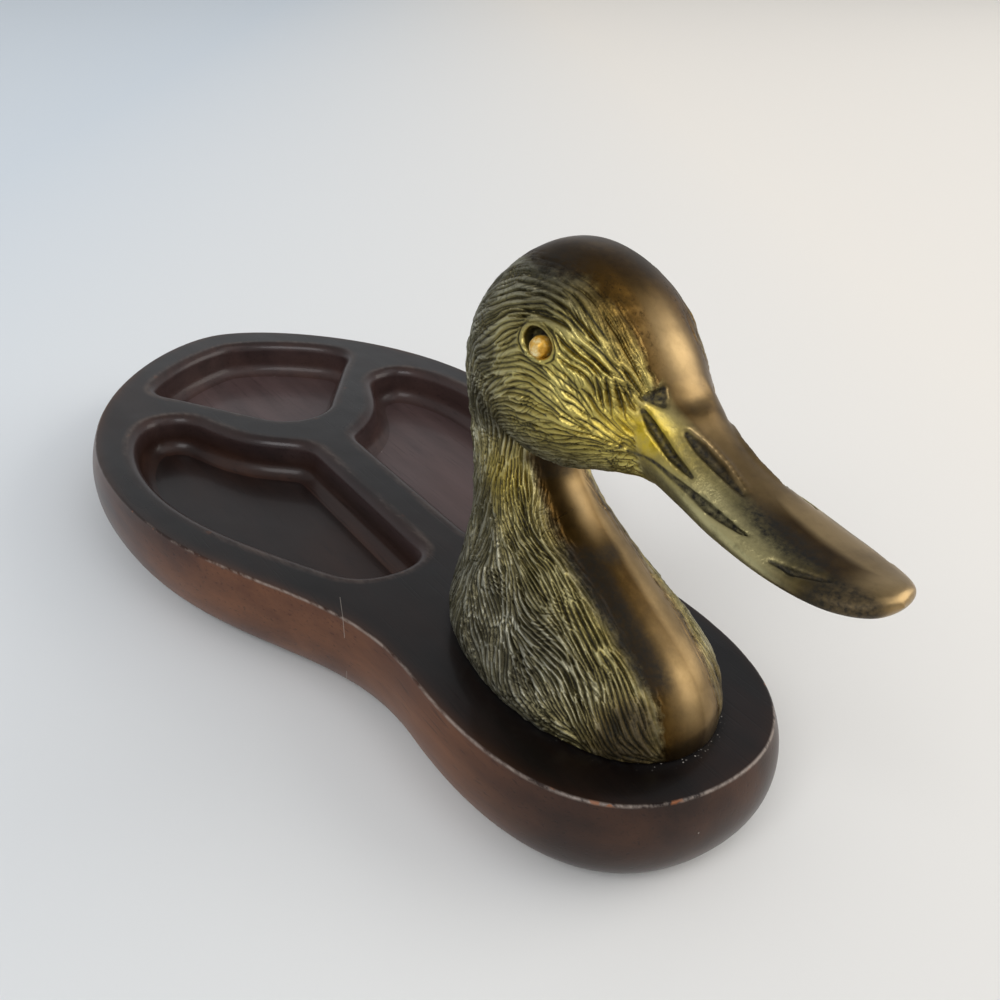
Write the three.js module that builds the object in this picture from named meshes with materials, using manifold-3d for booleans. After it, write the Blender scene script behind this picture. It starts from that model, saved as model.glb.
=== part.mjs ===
// A duck head valet tray: a routed hardwood tray that carries a hollow brass duck's head.
// Millimetres, +Z up, +X towards the bill, +Y to the duck's left.
// The origin lies on the felt's underside, halfway along the tray.
import * as THREE from "three";
import { mergeVertices } from "three/addons/utils/BufferGeometryUtils.js";
import Module from "manifold-3d";

// Sizes of the tray board
const TRAY_LENGTH = 270;
const TRAY_WIDTH = 129;
const TRAY_THICKNESS = 22;
const WIDEST_FROM_REAR = 95;
const FRONT_LOBE_WIDTH = 67.8;
const WAIST_FROM_FRONT = 57;
const EDGE_ROUNDING = 1;
const SIDE_BULGE = 1.8;
const FOOT_INSET = 6.5;

// Sizes of the three pockets
const POCKET_DEPTH = 11;
const LIP_ROUNDING = 2;
const FLOOR_FILLET = 4;
const REAR_RIM = 10.8;
const SIDE_RIM = 7.2;
const DIVIDER = 9;
const REAR_POCKET_LENGTH = 75;
const REAR_POCKET_WIDTH = 73;
const SIDE_POCKET_LENGTH = 118;
const SIDE_POCKET_WRAP = 35.5;

// Sizes of the brass casting
const CASTING_FROM_FRONT = 40;
const CASTING_HEIGHT = 88.8;
const BREAST_LENGTH = 70;
const BREAST_WIDTH = 46;
const HEAD_WIDTH = 35.4;
const HEAD_LENGTH = 100;
const BILL_REACH = 66;
const CASTING_WALL = 4;
const CORE_HEIGHT = 58;
const LEAST_CROWN = 25;
const LEAST_LAND = 10;

// Sizes of the eyes
const EYE_BELOW_CROWN = 14;
const EYE_FROM_BILL_TIP = 67.5;
const EYE_RADIUS = 2.9;
const SOCKET_CLEARANCE = 0.7;
const SOCKET_DEPTH = 3.2;
const EYE_SEAT_GAP = 0.05;

// Sizes of the fasteners
const SCREW_SPACING = 34;
const SCREW_SETBACK = 4;
const THREAD_CLEARANCE = 0.1;
const SCREW_RADIUS = 2.5;
const SCREW_HEAD_RADIUS = 4.6;
const SCREW_HEAD_HEIGHT = 3.4;
const SCREW_GRIP = 12;
const SCREW_SLOT = 1.2;
const WASHER_RADIUS = 6;
const WASHER_THICKNESS = 1.2;
const HOLE_CLEARANCE = 0.3;
const COUNTERBORE_CLEARANCE = 1;
const HEAD_RECESS = 1.4;
const BOSS_WEB = 11;
const BOSS_FLOOR = 4;

// Sizes of the felt
const FELT_THICKNESS = 1.5;
const FELT_MARGIN = 2;

// Sections of the neck and breast, from the foot up: height as a share of the casting's height,
// front and back as shares of the breast's half length, half width as a share of the breast's.
const NECK_SECTIONS = [
  [0, 0.89, -1.14, 0.95],
  [0.07, 0.86, -1.16, 1],
  [0.16, 0.69, -1.14, 0.84],
  [0.27, 0.29, -1.12, 0.61],
  [0.38, -0.17, -1.11, 0.5],
  [0.5, -0.44, -1.08, 0.47],
  [0.61, -0.42, -1.02, 0.54],
  [0.72, -0.26, -0.9, 0.6],
];

// Sections of the head and bill, from back to tip: place as a share of the head's length, top and
// underside as shares of the casting's height, half width as a share of the head's.
const HEAD_SECTIONS = [
  [0, 0.75, 0.67, 0.02],
  [0.02, 0.83, 0.6, 0.47],
  [0.07, 0.91, 0.55, 0.81],
  [0.17, 0.99, 0.52, 1],
  [0.27, 1, 0.52, 0.98],
  [0.37, 0.96, 0.56, 0.89],
  [0.45, 0.89, 0.59, 0.69],
  [0.52, 0.81, 0.6, 0.52],
  [0.6, 0.74, 0.59, 0.49],
  [0.7, 0.69, 0.58, 0.53],
  [0.82, 0.655, 0.58, 0.55],
  [0.92, 0.645, 0.585, 0.48],
  [0.98, 0.645, 0.6, 0.3],
  [1, 0.63, 0.625, 0.01],
];
const SECTION_ROUNDNESS = 2.1;

// How far a cutter runs past the face that it opens
const OVERRUN = 1;

// Steps that a round stretch is divided into
const CURVE_STEPS = 11;
const POCKET_STEPS = 6;
const ROUND_STEPS = 32;

// Heights and places worked out from the sizes
const trayFloor = FELT_THICKNESS;
const trayTop = FELT_THICKNESS + TRAY_THICKNESS;
const rearTip = -TRAY_LENGTH / 2;
const frontTip = TRAY_LENGTH / 2;
const castingX = frontTip - CASTING_FROM_FRONT;
const headBack = castingX + BILL_REACH - HEAD_LENGTH;
const coreHeight = Math.min(CORE_HEIGHT, CASTING_HEIGHT - LEAST_CROWN);
const washerRadius = Math.max(WASHER_RADIUS, SCREW_HEAD_RADIUS + 0.5);
const boreDepth = WASHER_THICKNESS + SCREW_HEAD_HEIGHT + HEAD_RECESS;
const washerSeat = trayFloor + boreDepth;
const screwPlaces = {
  front: castingX - SCREW_SETBACK + SCREW_SPACING / 2,
  rear: castingX - SCREW_SETBACK - SCREW_SPACING / 2,
};

const wasm = await Module();
wasm.setup();

const wood = new THREE.MeshStandardMaterial({ color: 0x2b1410, roughness: 0.35, metalness: 0 });
const brass = new THREE.MeshStandardMaterial({ color: 0x8a7440, roughness: 0.4, metalness: 1 });
const amberBrass = new THREE.MeshStandardMaterial({ color: 0xb08a3c, roughness: 0.25, metalness: 1 });
const steel = new THREE.MeshStandardMaterial({ color: 0x9a9a98, roughness: 0.4, metalness: 1 });
const zinc = new THREE.MeshStandardMaterial({ color: 0xb2b4b6, roughness: 0.35, metalness: 1 });
const felt = new THREE.MeshStandardMaterial({ color: 0x24402e, roughness: 1, metalness: 0 });

// A closed three.js geometry as a solid that can be joined or cut.
function toSolid(geometry) {
  const bare = geometry.clone();
  bare.deleteAttribute("normal");
  bare.deleteAttribute("uv");
  const merged = mergeVertices(bare, 1e-4);
  return new wasm.Manifold(
    new wasm.Mesh({
      numProp: 3,
      vertProperties: new Float32Array(merged.attributes.position.array),
      triVerts: new Uint32Array(merged.index.array),
    }),
  );
}

// A solid back as a three.js geometry.
function toGeometry(solid) {
  const mesh = solid.getMesh();
  const geometry = new THREE.BufferGeometry();
  geometry.setAttribute("position", new THREE.BufferAttribute(mesh.vertProperties, 3));
  geometry.setIndex(new THREE.BufferAttribute(mesh.triVerts, 1));
  geometry.computeVertexNormals();
  return geometry;
}

// A closed solid through rings of equal point counts. Each ring runs counter-clockwise as seen
// from the last ring's side, and flatten gives a ring point's place in the plane of the end caps.
function loft(rings, flatten) {
  const count = rings[0].length;
  const positions = rings.flat().flatMap((point) => point.toArray());
  const faces = [];
  for (let r = 0; r + 1 < rings.length; r += 1) {
    for (let i = 0; i < count; i += 1) {
      const a = r * count + i;
      const b = r * count + ((i + 1) % count);
      faces.push(a, b, b + count, a, b + count, a + count);
    }
  }
  const last = (rings.length - 1) * count;
  for (const [a, b, c] of THREE.ShapeUtils.triangulateShape(rings[0].map(flatten), [])) {
    faces.push(a, c, b);
  }
  for (const [a, b, c] of THREE.ShapeUtils.triangulateShape(rings.at(-1).map(flatten), [])) {
    faces.push(last + a, last + b, last + c);
  }
  const geometry = new THREE.BufferGeometry();
  geometry.setAttribute("position", new THREE.Float32BufferAttribute(positions, 3));
  geometry.setIndex(faces);
  return geometry;
}

const onPlan = (point) => new THREE.Vector2(point.x, point.y);
const onCrossSection = (point) => new THREE.Vector2(point.y, point.z);

// Points along plan curves, each with the outward normal of a counter-clockwise outline.
function samplePlan(curves, steps) {
  const samples = [];
  for (const curve of curves) {
    const count = curve.isLineCurve ? 2 : steps;
    for (let i = 0; i < count; i += 1) {
      const point = curve.getPoint(i / count);
      const tangent = curve.getTangent(i / count);
      samples.push({ point, normal: new THREE.Vector2(tangent.y, -tangent.x) });
    }
  }
  return samples;
}

// One level ring of an outline, moved inwards by an inset.
function levelRing(samples, inset, z) {
  return samples.map(
    ({ point, normal }) =>
      new THREE.Vector3(point.x - inset * normal.x, point.y - inset * normal.y, z),
  );
}

// The other half of a path that starts and ends on the X axis: the same curves, mirrored and reversed.
function mirrored(curves) {
  const flip = (v) => new THREE.Vector2(v.x, -v.y);
  return curves.toReversed().map((curve) =>
    curve.isLineCurve
      ? new THREE.LineCurve(flip(curve.v2), flip(curve.v1))
      : new THREE.CubicBezierCurve(flip(curve.v3), flip(curve.v2), flip(curve.v1), flip(curve.v0)),
  );
}

// A path of straight and Bezier stretches through plan points given as [x, y] pairs: one pair
// draws a straight stretch to it, three pairs draw a curve with two handles.
function planPath(start, ...stretches) {
  const curves = [];
  let from = new THREE.Vector2(...start);
  for (const stretch of stretches) {
    const points = stretch.map((pair) => new THREE.Vector2(...pair));
    const curve =
      points.length === 1
        ? new THREE.LineCurve(from, points[0])
        : new THREE.CubicBezierCurve(from, ...points);
    curves.push(curve);
    from = points.at(-1);
  }
  return curves;
}

// The tray's rim: a broad egg at the rear, a waist and a round front lobe.
function trayOutline() {
  const half = TRAY_WIDTH / 2;
  const lobe = FRONT_LOBE_WIDTH / 2;
  const widest = rearTip + WIDEST_FROM_REAR;
  const waist = frontTip - WAIST_FROM_FRONT;
  const fall = waist - widest;
  const left = planPath(
    [frontTip, 0],
    [[frontTip, 0.68 * lobe], [waist + 0.7 * WAIST_FROM_FRONT, 1.07 * lobe], [waist, lobe]],
    [[waist - 0.37 * fall, 0.925 * lobe], [widest + 0.54 * fall, half], [widest, half]],
    [[widest - 0.58 * WIDEST_FROM_REAR, half], [rearTip, 0.33 * half], [rearTip, 0]],
  );
  return samplePlan([...left, ...mirrored(left)], CURVE_STEPS);
}

// The rear pocket: a rounded triangle that follows the rear rim and points at the divider's fork.
function rearPocketOutline() {
  const start = rearTip + REAR_RIM;
  const half = REAR_POCKET_WIDTH / 2;
  const along = (share) => start + share * REAR_POCKET_LENGTH;
  const left = planPath(
    [along(1), 0],
    [[along(1), 0.14 * half], [along(0.965), 0.27 * half], [along(0.9), 0.36 * half]],
    [[along(0.56), 0.82 * half]],
    [[along(0.49), 0.915 * half], [along(0.46), half], [along(0.375), half]],
    [[along(0.23), half], [start, 0.3 * half], [start, 0]],
  );
  return samplePlan([...left, ...mirrored(left)], POCKET_STEPS);
}

// The left side pocket: a straight inner edge along the divider, a round front end, an outer edge
// beside the rim, a round rear lobe, and a wavy edge back to the fork. side -1 is the right one.
function sidePocketOutline(side) {
  const fork = rearTip + REAR_RIM + REAR_POCKET_LENGTH + DIVIDER;
  const start = fork - SIDE_POCKET_WRAP;
  const castingBack = castingX + NECK_SECTIONS[1][2] * (BREAST_LENGTH / 2);
  const length = Math.min(SIDE_POCKET_LENGTH, castingBack - LEAST_LAND - start);
  const inner = DIVIDER / 2;
  const reach = TRAY_WIDTH / 2 - SIDE_RIM - inner;
  const at = (lengthShare, widthShare) => [
    start + lengthShare * length,
    inner + widthShare * reach,
  ];
  const left = planPath(
    at(0.4, 0),
    [at(0.9, 0)],
    [at(0.965, 0), at(1, 0.1), at(1, 0.25)],
    [at(1, 0.4), at(0.97, 0.487), at(0.92, 0.55)],
    [at(0.69, 0.84), at(0.53, 1), at(0.33, 1)],
    [at(0.16, 1), at(0, 0.87), at(0, 0.68)],
    [at(0, 0.55), at(0.03, 0.47), at(0.09, 0.42)],
    [at(0.15, 0.37), at(0.2, 0.33), at(0.245, 0.245)],
    [at(0.31, 0.12), at(0.32, 0), at(0.4, 0)],
  );
  const curves = side > 0 ? left : mirrored(left);
  return samplePlan(curves, POCKET_STEPS);
}

// The space that a router leaves: a rounded lip, a straight wall and a filleted floor.
function pocketSolid(outline) {
  const quarter = [0, 1, 2, 3].map((i) => (i / 3) * (Math.PI / 2));
  const lip = quarter.map((a) => [
    LIP_ROUNDING * Math.sin(a),
    trayTop - LIP_ROUNDING * (1 - Math.cos(a)),
  ]);
  const floor = quarter.map((a) => [
    LIP_ROUNDING + FLOOR_FILLET * (1 - Math.cos(a)),
    trayTop - POCKET_DEPTH + FLOOR_FILLET * (1 - Math.sin(a)),
  ]);
  const profile = [[0, trayTop + OVERRUN], ...lip, ...floor].toReversed();
  return toSolid(loft(profile.map(([inset, z]) => levelRing(outline, inset, z)), onPlan));
}

// A straight round pin along Z between two heights.
function roundPin(radius, low, high, x) {
  const pin = new THREE.CylinderGeometry(radius, radius, high - low, ROUND_STEPS);
  pin.rotateX(Math.PI / 2);
  pin.translate(x, 0, (low + high) / 2);
  return toSolid(pin);
}

// The board: its convex side is drawn in at the foot, its top edge is eased, and the pockets,
// the screw holes and their counterbores are cut from it.
function makeTrayBase() {
  const outline = trayOutline();
  const side = new THREE.CubicBezierCurve(
    new THREE.Vector2(FOOT_INSET, trayFloor),
    new THREE.Vector2(-0.45 * SIDE_BULGE, trayFloor + 0.05 * TRAY_THICKNESS),
    new THREE.Vector2(-2.2 * SIDE_BULGE, trayTop - 0.42 * TRAY_THICKNESS),
    new THREE.Vector2(0, trayTop - EDGE_ROUNDING),
  );
  const profile = side.getPoints(7).map((p) => [p.x, p.y]);
  profile.push([0.3 * EDGE_ROUNDING, trayTop - 0.3 * EDGE_ROUNDING], [EDGE_ROUNDING, trayTop]);
  let board = toSolid(loft(profile.map(([inset, z]) => levelRing(outline, inset, z)), onPlan));
  for (const pocket of [rearPocketOutline(), sidePocketOutline(1), sidePocketOutline(-1)]) {
    board = board.subtract(pocketSolid(pocket));
  }
  for (const x of Object.values(screwPlaces)) {
    const hole = SCREW_RADIUS + HOLE_CLEARANCE;
    const counterbore = washerRadius + COUNTERBORE_CLEARANCE;
    board = board.subtract(roundPin(hole, trayFloor - OVERRUN, trayTop + OVERRUN, x));
    board = board.subtract(roundPin(counterbore, trayFloor - OVERRUN, washerSeat, x));
  }
  return toGeometry(board);
}

// A smooth run of sections: the four columns follow splines with the same parameter.
function sectionAt(sections, t) {
  const pair = (a, b) => new THREE.SplineCurve(sections.map((s) => new THREE.Vector2(s[a], s[b])));
  const first = pair(0, 1).getPoint(t);
  const second = pair(2, 3).getPoint(t);
  return [first.x, first.y, second.x, second.y];
}

// One superellipse point, as shares of its two half axes.
function roundedShare(angle) {
  const share = (value) => Math.sign(value) * Math.abs(value) ** (2 / SECTION_ROUNDNESS);
  return [share(Math.cos(angle)), share(Math.sin(angle))];
}

const angles = (count) => Array.from({ length: count }, (_, i) => (i / count) * 2 * Math.PI);

// The neck and breast, drawn in by a wall to give the core. It stands on the tray's top.
function neckSolid(wall, top, rings, points) {
  const half = BREAST_LENGTH / 2;
  const list = [];
  for (let i = 0; i <= rings; i += 1) {
    const [rise, front, back, width] = sectionAt(NECK_SECTIONS, i / rings);
    const z = Math.min(rise * CASTING_HEIGHT, top);
    const middle = castingX + ((front + back) / 2) * half;
    const halfLength = ((front - back) / 2) * half - wall;
    const halfWidth = (width * BREAST_WIDTH) / 2 - wall;
    list.push(
      angles(points).map((angle) => {
        const [along, across] = roundedShare(angle);
        return new THREE.Vector3(
          middle + along * halfLength,
          across * halfWidth,
          trayTop + z - (wall > 0 && i === 0 ? OVERRUN : 0),
        );
      }),
    );
    if (rise * CASTING_HEIGHT >= top) break;
  }
  return toSolid(loft(list, onPlan));
}

// The head and bill, solid from back to tip.
function headSolid(rings, points) {
  const list = [];
  for (let i = 0; i <= rings; i += 1) {
    const [place, top, underside, width] = sectionAt(HEAD_SECTIONS, i / rings);
    const x = headBack + place * HEAD_LENGTH;
    const middle = ((top + underside) / 2) * CASTING_HEIGHT;
    const halfHeight = Math.max(((top - underside) / 2) * CASTING_HEIGHT, 0.05);
    const halfWidth = Math.max((width * HEAD_WIDTH) / 2, 0.05);
    list.push(
      angles(points).map((angle) => {
        const [across, up] = roundedShare(angle);
        return new THREE.Vector3(x, across * halfWidth, trayTop + middle + up * halfHeight);
      }),
    );
  }
  return toSolid(loft(list, onCrossSection));
}

// How far the head's surface lies from the middle plane, at a place along it and a height.
function headSurface(x, z) {
  let low = 0;
  let high = 1;
  for (let i = 0; i < 40; i += 1) {
    const middle = (low + high) / 2;
    const place = headBack + sectionAt(HEAD_SECTIONS, middle)[0] * HEAD_LENGTH;
    [low, high] = place < x ? [middle, high] : [low, middle];
  }
  const [, top, underside, width] = sectionAt(HEAD_SECTIONS, low);
  const middle = trayTop + ((top + underside) / 2) * CASTING_HEIGHT;
  const halfHeight = ((top - underside) / 2) * CASTING_HEIGHT;
  const rise = Math.min(Math.abs(z - middle) / halfHeight, 0.95);
  const share = (1 - rise ** SECTION_ROUNDNESS) ** (1 / SECTION_ROUNDNESS);
  return (share * width * HEAD_WIDTH) / 2;
}

// A turned form set on the head's side at an eye, along the surface's outward normal.
function atEye(geometry, side) {
  const x = castingX + BILL_REACH - EYE_FROM_BILL_TIP;
  const z = trayTop + CASTING_HEIGHT - EYE_BELOW_CROWN;
  const slope = (dx, dz) => headSurface(x + dx, z + dz) - headSurface(x - dx, z - dz);
  const outwards = new THREE.Vector3(-slope(0.5, 0), side, -slope(0, 0.5)).normalize();
  const turn = new THREE.Quaternion().setFromUnitVectors(new THREE.Vector3(0, 1, 0), outwards);
  geometry.applyQuaternion(turn);
  geometry.translate(x, side * headSurface(x, z), z);
  return geometry;
}

// The round recess that holds an eye, open outwards.
function socketSolid(side) {
  const radius = EYE_RADIUS + SOCKET_CLEARANCE;
  const outside = 4 * OVERRUN;
  const recess = new THREE.CylinderGeometry(radius, radius, SOCKET_DEPTH + outside, ROUND_STEPS);
  recess.translate(0, (outside - SOCKET_DEPTH) / 2, 0);
  return toSolid(atEye(recess, side));
}

// A web across the casting's core that a screw is tapped into.
function bossSolid(x) {
  const height = SCREW_GRIP + BOSS_FLOOR;
  const web = new THREE.BoxGeometry(BOSS_WEB, BREAST_WIDTH, height);
  web.translate(x, 0, trayTop + height / 2 - OVERRUN / 2);
  return toSolid(web);
}

// The casting: breast, neck, head and bill in one, cored from beneath, with two webs for the screws.
function makeDuckHead() {
  let casting = neckSolid(0, Infinity, 20, 40).add(headSolid(44, 32));
  let core = neckSolid(CASTING_WALL, coreHeight, 12, 24);
  for (const x of Object.values(screwPlaces)) {
    core = core.subtract(bossSolid(x));
  }
  casting = casting.subtract(core);
  for (const x of Object.values(screwPlaces)) {
    const end = trayTop + SCREW_GRIP + OVERRUN;
    casting = casting.subtract(roundPin(SCREW_RADIUS, trayTop - OVERRUN, end, x));
  }
  for (const side of [1, -1]) {
    casting = casting.subtract(socketSolid(side));
  }
  return toGeometry(casting);
}

// An eye: a bead with a flat back on its socket's floor.
function makeEye(side) {
  const back = -SOCKET_DEPTH + EYE_SEAT_GAP;
  const cut = Math.PI / 9;
  const steps = 10;
  const profile = [new THREE.Vector2(0, back)];
  for (let i = 0; i < steps; i += 1) {
    const angle = -cut + (i / steps) * (Math.PI / 2 + cut);
    const rise = EYE_RADIUS * (Math.sin(angle) + Math.sin(cut));
    profile.push(new THREE.Vector2(EYE_RADIUS * Math.cos(angle), back + rise));
  }
  profile.push(new THREE.Vector2(0, back + EYE_RADIUS * (1 + Math.sin(cut))));
  return atEye(new THREE.LatheGeometry(profile, 20), side);
}

// A slotted machine screw whose head bears on a washer and whose end is in the casting's web.
function makeScrew(x) {
  const headTop = washerSeat - WASHER_THICKNESS;
  const headLow = headTop - SCREW_HEAD_HEIGHT;
  const head = roundPin(SCREW_HEAD_RADIUS, headLow, headTop, x);
  const end = trayTop + SCREW_GRIP;
  const shank = roundPin(SCREW_RADIUS - THREAD_CLEARANCE, headTop - OVERRUN, end, x);
  const slot = new THREE.BoxGeometry(3 * SCREW_HEAD_RADIUS, SCREW_SLOT, SCREW_HEAD_HEIGHT);
  slot.translate(x, 0, headLow);
  return toGeometry(head.add(shank).subtract(toSolid(slot)));
}

// A flat washer under a counterbore's roof.
function makeWasher(x) {
  const low = washerSeat - WASHER_THICKNESS;
  const disc = roundPin(washerRadius, low, washerSeat, x);
  const bore = SCREW_RADIUS + HOLE_CLEARANCE;
  const hole = roundPin(bore, low - OVERRUN, washerSeat + OVERRUN, x);
  return toGeometry(disc.subtract(hole));
}

// The felt sheet under the whole foot of the board.
function makeFeltPad() {
  const outline = trayOutline();
  const inset = FOOT_INSET + FELT_MARGIN;
  return loft([levelRing(outline, inset, 0), levelRing(outline, inset, trayFloor)], onPlan);
}

const tray = new THREE.Group();
tray.name = "duck_head_valet_tray";

function addPiece(name, geometry, material) {
  const piece = new THREE.Mesh(geometry, material);
  piece.name = name;
  tray.add(piece);
}

addPiece("tray_base", makeTrayBase(), wood);
addPiece("duck_head", makeDuckHead(), brass);
addPiece("eye_left", makeEye(1), amberBrass);
addPiece("eye_right", makeEye(-1), amberBrass);
for (const [end, x] of Object.entries(screwPlaces)) {
  addPiece(`mounting_screw_${end}`, makeScrew(x), steel);
  addPiece(`washer_${end}`, makeWasher(x), zinc);
}
addPiece("felt_pad", makeFeltPad(), felt);

export default tray;
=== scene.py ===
# Looks of the duck head valet tray: a lacquered mahogany tray and a patinated brass duck's head.
# Metres in Blender; sizes below are millimetres in the part's own frame.
import math
import random

import bmesh
import bpy
import numpy as np
import openvdb
from mathutils import Matrix, Vector, noise
from mathutils.bvhtree import BVHTree


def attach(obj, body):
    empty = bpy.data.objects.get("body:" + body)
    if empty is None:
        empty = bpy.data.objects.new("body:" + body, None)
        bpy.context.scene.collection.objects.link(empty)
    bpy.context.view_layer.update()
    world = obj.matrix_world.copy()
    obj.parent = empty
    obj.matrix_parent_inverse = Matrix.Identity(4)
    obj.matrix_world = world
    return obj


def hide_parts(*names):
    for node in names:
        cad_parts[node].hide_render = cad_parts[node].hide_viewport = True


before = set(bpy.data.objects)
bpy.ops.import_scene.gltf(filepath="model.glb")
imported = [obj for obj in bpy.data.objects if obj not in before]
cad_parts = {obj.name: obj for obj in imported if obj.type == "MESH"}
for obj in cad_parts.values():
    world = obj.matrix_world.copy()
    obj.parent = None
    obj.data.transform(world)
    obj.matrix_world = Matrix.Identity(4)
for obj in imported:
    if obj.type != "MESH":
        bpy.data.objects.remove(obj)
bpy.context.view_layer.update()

MM = 0.001
SEED = 7

# Sizes of the tray board
TRAY_LENGTH = 270
TRAY_WIDTH = 129
TRAY_THICKNESS = 22
WIDEST_FROM_REAR = 95
FRONT_LOBE_WIDTH = 67.8
WAIST_FROM_FRONT = 57
EDGE_ROUNDING = 0.7
SIDE_BULGE = 1.8
FOOT_INSET = 6.5
POCKET_DEPTH = 11
LIP_ROUNDING = 3
FLOOR_FILLET = 4
REAR_RIM = 10.8
SIDE_RIM = 7.2
DIVIDER = 9
REAR_POCKET_LENGTH = 75
REAR_POCKET_WIDTH = 73
SIDE_POCKET_LENGTH = 118
SIDE_POCKET_WRAP = 35.5

# Sizes of the brass casting
CASTING_FROM_FRONT = 40
CASTING_HEIGHT = 88.8
BREAST_LENGTH = 70
BREAST_WIDTH = 46
HEAD_WIDTH = 35.4
HEAD_LENGTH = 100
BILL_REACH = 66
EYE_BELOW_CROWN = 14
EYE_FROM_BILL_TIP = 67.5
SOCKET_RADIUS = 2.25
SOCKET_STRETCH = 1.6
SOCKET_TILT = 12
SOCKET_DEPTH = 2.5
BEAD_RADIUS = 2.1
BEAD_DROP = 0.75
BEAD_AHEAD = 0.4
# Shares of the bead's radius: how high its middle lies over the socket's floor, where its back is
# flat, and how uneven it is
BEAD_SEAT = 0.75
BEAD_FLAT = 0.72
BEAD_RIPPLE = 0.05
# How far the visible eye sits behind and above the solid model's, as the photograph shows it
EYE_BACK = 1.3
EYE_UP = 0.45

# Sizes of the fasteners' holes and of the felt
SCREW_SPACING = 34
SCREW_SETBACK = 4
SCREW_HOLE = 2.8
COUNTERBORE = 7
COUNTERBORE_DEPTH = 6
FELT_THICKNESS = 1.5
FELT_MARGIN = 2

# Where crumbs of old wax begin along the tray and where they are thickest, and a long scratch over its
# edge at the waist
CRUMBS_FROM = 108
CRUMBS_FULL = 116
SCRATCH_START = (43.6, -34, 0)
SCRATCH_WAY = (0.933, -0.359, 0)
SCRATCH_LENGTH = 10.5
SCRATCH_WIDTH = 0.14
SCRATCH_STRENGTH = 0.45

# Sections of the neck and breast: height as a share of the casting's height, front and back as
# shares of the breast's half length, half width as a share of the breast's.
NECK_SECTIONS = [
    [0, 0.89, -1.14, 0.95],
    [0.07, 0.86, -1.16, 1],
    [0.16, 0.69, -1.14, 0.84],
    [0.27, 0.29, -1.12, 0.61],
    [0.38, -0.17, -1.11, 0.5],
    [0.5, -0.44, -1.08, 0.47],
    [0.61, -0.42, -1.02, 0.54],
    [0.72, -0.26, -0.9, 0.6],
]

# Sections of the head and bill: place as a share of the head's length, top and underside as
# shares of the casting's height, half width as a share of the head's.
HEAD_SECTIONS = [
    [0, 0.75, 0.67, 0.02],
    [0.02, 0.83, 0.6, 0.47],
    [0.07, 0.91, 0.55, 0.81],
    [0.17, 0.99, 0.52, 1],
    [0.27, 1, 0.52, 0.98],
    [0.37, 0.96, 0.56, 0.89],
    [0.45, 0.89, 0.59, 0.69],
    [0.52, 0.81, 0.6, 0.52],
    [0.6, 0.74, 0.59, 0.49],
    [0.7, 0.69, 0.58, 0.53],
    [0.82, 0.655, 0.58, 0.55],
    [0.92, 0.645, 0.585, 0.48],
    [0.98, 0.645, 0.6, 0.3],
    [1, 0.63, 0.625, 0.01],
]
SECTION_ROUNDNESS = 2.1

# Places worked out from the sizes
TRAY_FLOOR = FELT_THICKNESS
TRAY_TOP = FELT_THICKNESS + TRAY_THICKNESS
REAR_TIP = -TRAY_LENGTH / 2
FRONT_TIP = TRAY_LENGTH / 2
CASTING_X = FRONT_TIP - CASTING_FROM_FRONT
HEAD_BACK = BILL_REACH - HEAD_LENGTH
EYE_X = BILL_REACH - EYE_FROM_BILL_TIP - EYE_BACK
EYE_Z = CASTING_HEIGHT - EYE_BELOW_CROWN + EYE_UP
SCREW_PLACES = [CASTING_X - SCREW_SETBACK + side * SCREW_SPACING / 2 for side in (1, -1)]

# The camera's place and aim, and the lens, as they fit the photograph
CAMERA_PLACE = (229.1, -114.5, 162.5)
CAMERA_AIM = (58.54, 0, 46.79)
CAMERA_ROLL = 1.519
CAMERA_LENS = 37.44
CAMERA_SENSOR = 36

# The lamps: place, aim and size in metres, watts and colour
LAMPS = [
    ("softbox", (3.5, 2.6, 6.6), (0, 0, 0), (7.0, 7.0), 120, "#fdfdff"),
    ("window", (1.5, 2.7, 1.5), (0.02, 0, 0.04), (3.0, 2.0), 46, "#fffaf2"),
    ("fill", (1.5, -2.6, 3.0), (0, 0, 0), (2.4, 2.0), 68, "#fdfdff"),
]
# The sky's strength low and high, and the heights between which it changes
SKY_LOW = 0.63
SKY_HIGH = 0.5
SKY_FROM = 0.3
SKY_TO = 0.75
# The floor's half side, and the way along which its colour changes with painted light and shade, from and to
# these places
FLOOR_REACH = 6.0
PAPER_WAY = (0.8, 1.4, 0)
PAPER_FROM = -0.45
PAPER_TO = 5.55


def linear(code):
    """An sRGB hex colour as linear RGBA."""
    shares = [int(code[i:i + 2], 16) / 255 for i in (1, 3, 5)]
    return tuple(s / 12.92 if s <= 0.04045 else ((s + 0.055) / 1.055) ** 2.4 for s in shares) + (1.0,)


def add(tree, kind, inputs=None, output=0, stops=(), **settings):
    """Adds one node with its settings and links, and gives back one of its outputs.

    A kind is a shader node's unless its name says otherwise. An input takes a value or an output to
    link from; stops are a ramp's places and hex colours."""
    own_name = kind.startswith(("Geometry", "NodeGroup"))
    node = tree.nodes.new(kind if own_name else "ShaderNode" + kind)
    for name, value in settings.items():
        setattr(node, name, value)
    for name, value in (inputs or {}).items():
        if isinstance(value, bpy.types.NodeSocket):
            tree.links.new(value, node.inputs[name])
        else:
            node.inputs[name].default_value = value
    for _ in stops[2:]:
        node.color_ramp.elements.new(1.0)
    for mark, (place, code) in zip(node.color_ramp.elements if stops else (), stops):
        mark.position = place
        mark.color = linear(code)
    return node.outputs[output] if node.outputs else None


def smooth(low, high, value):
    """A soft step from 0 at low to 1 at high."""
    share = np.clip((value - low) / (high - low), 0, 1)
    return share * share * (3 - 2 * share)


# Outlines in plan

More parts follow.
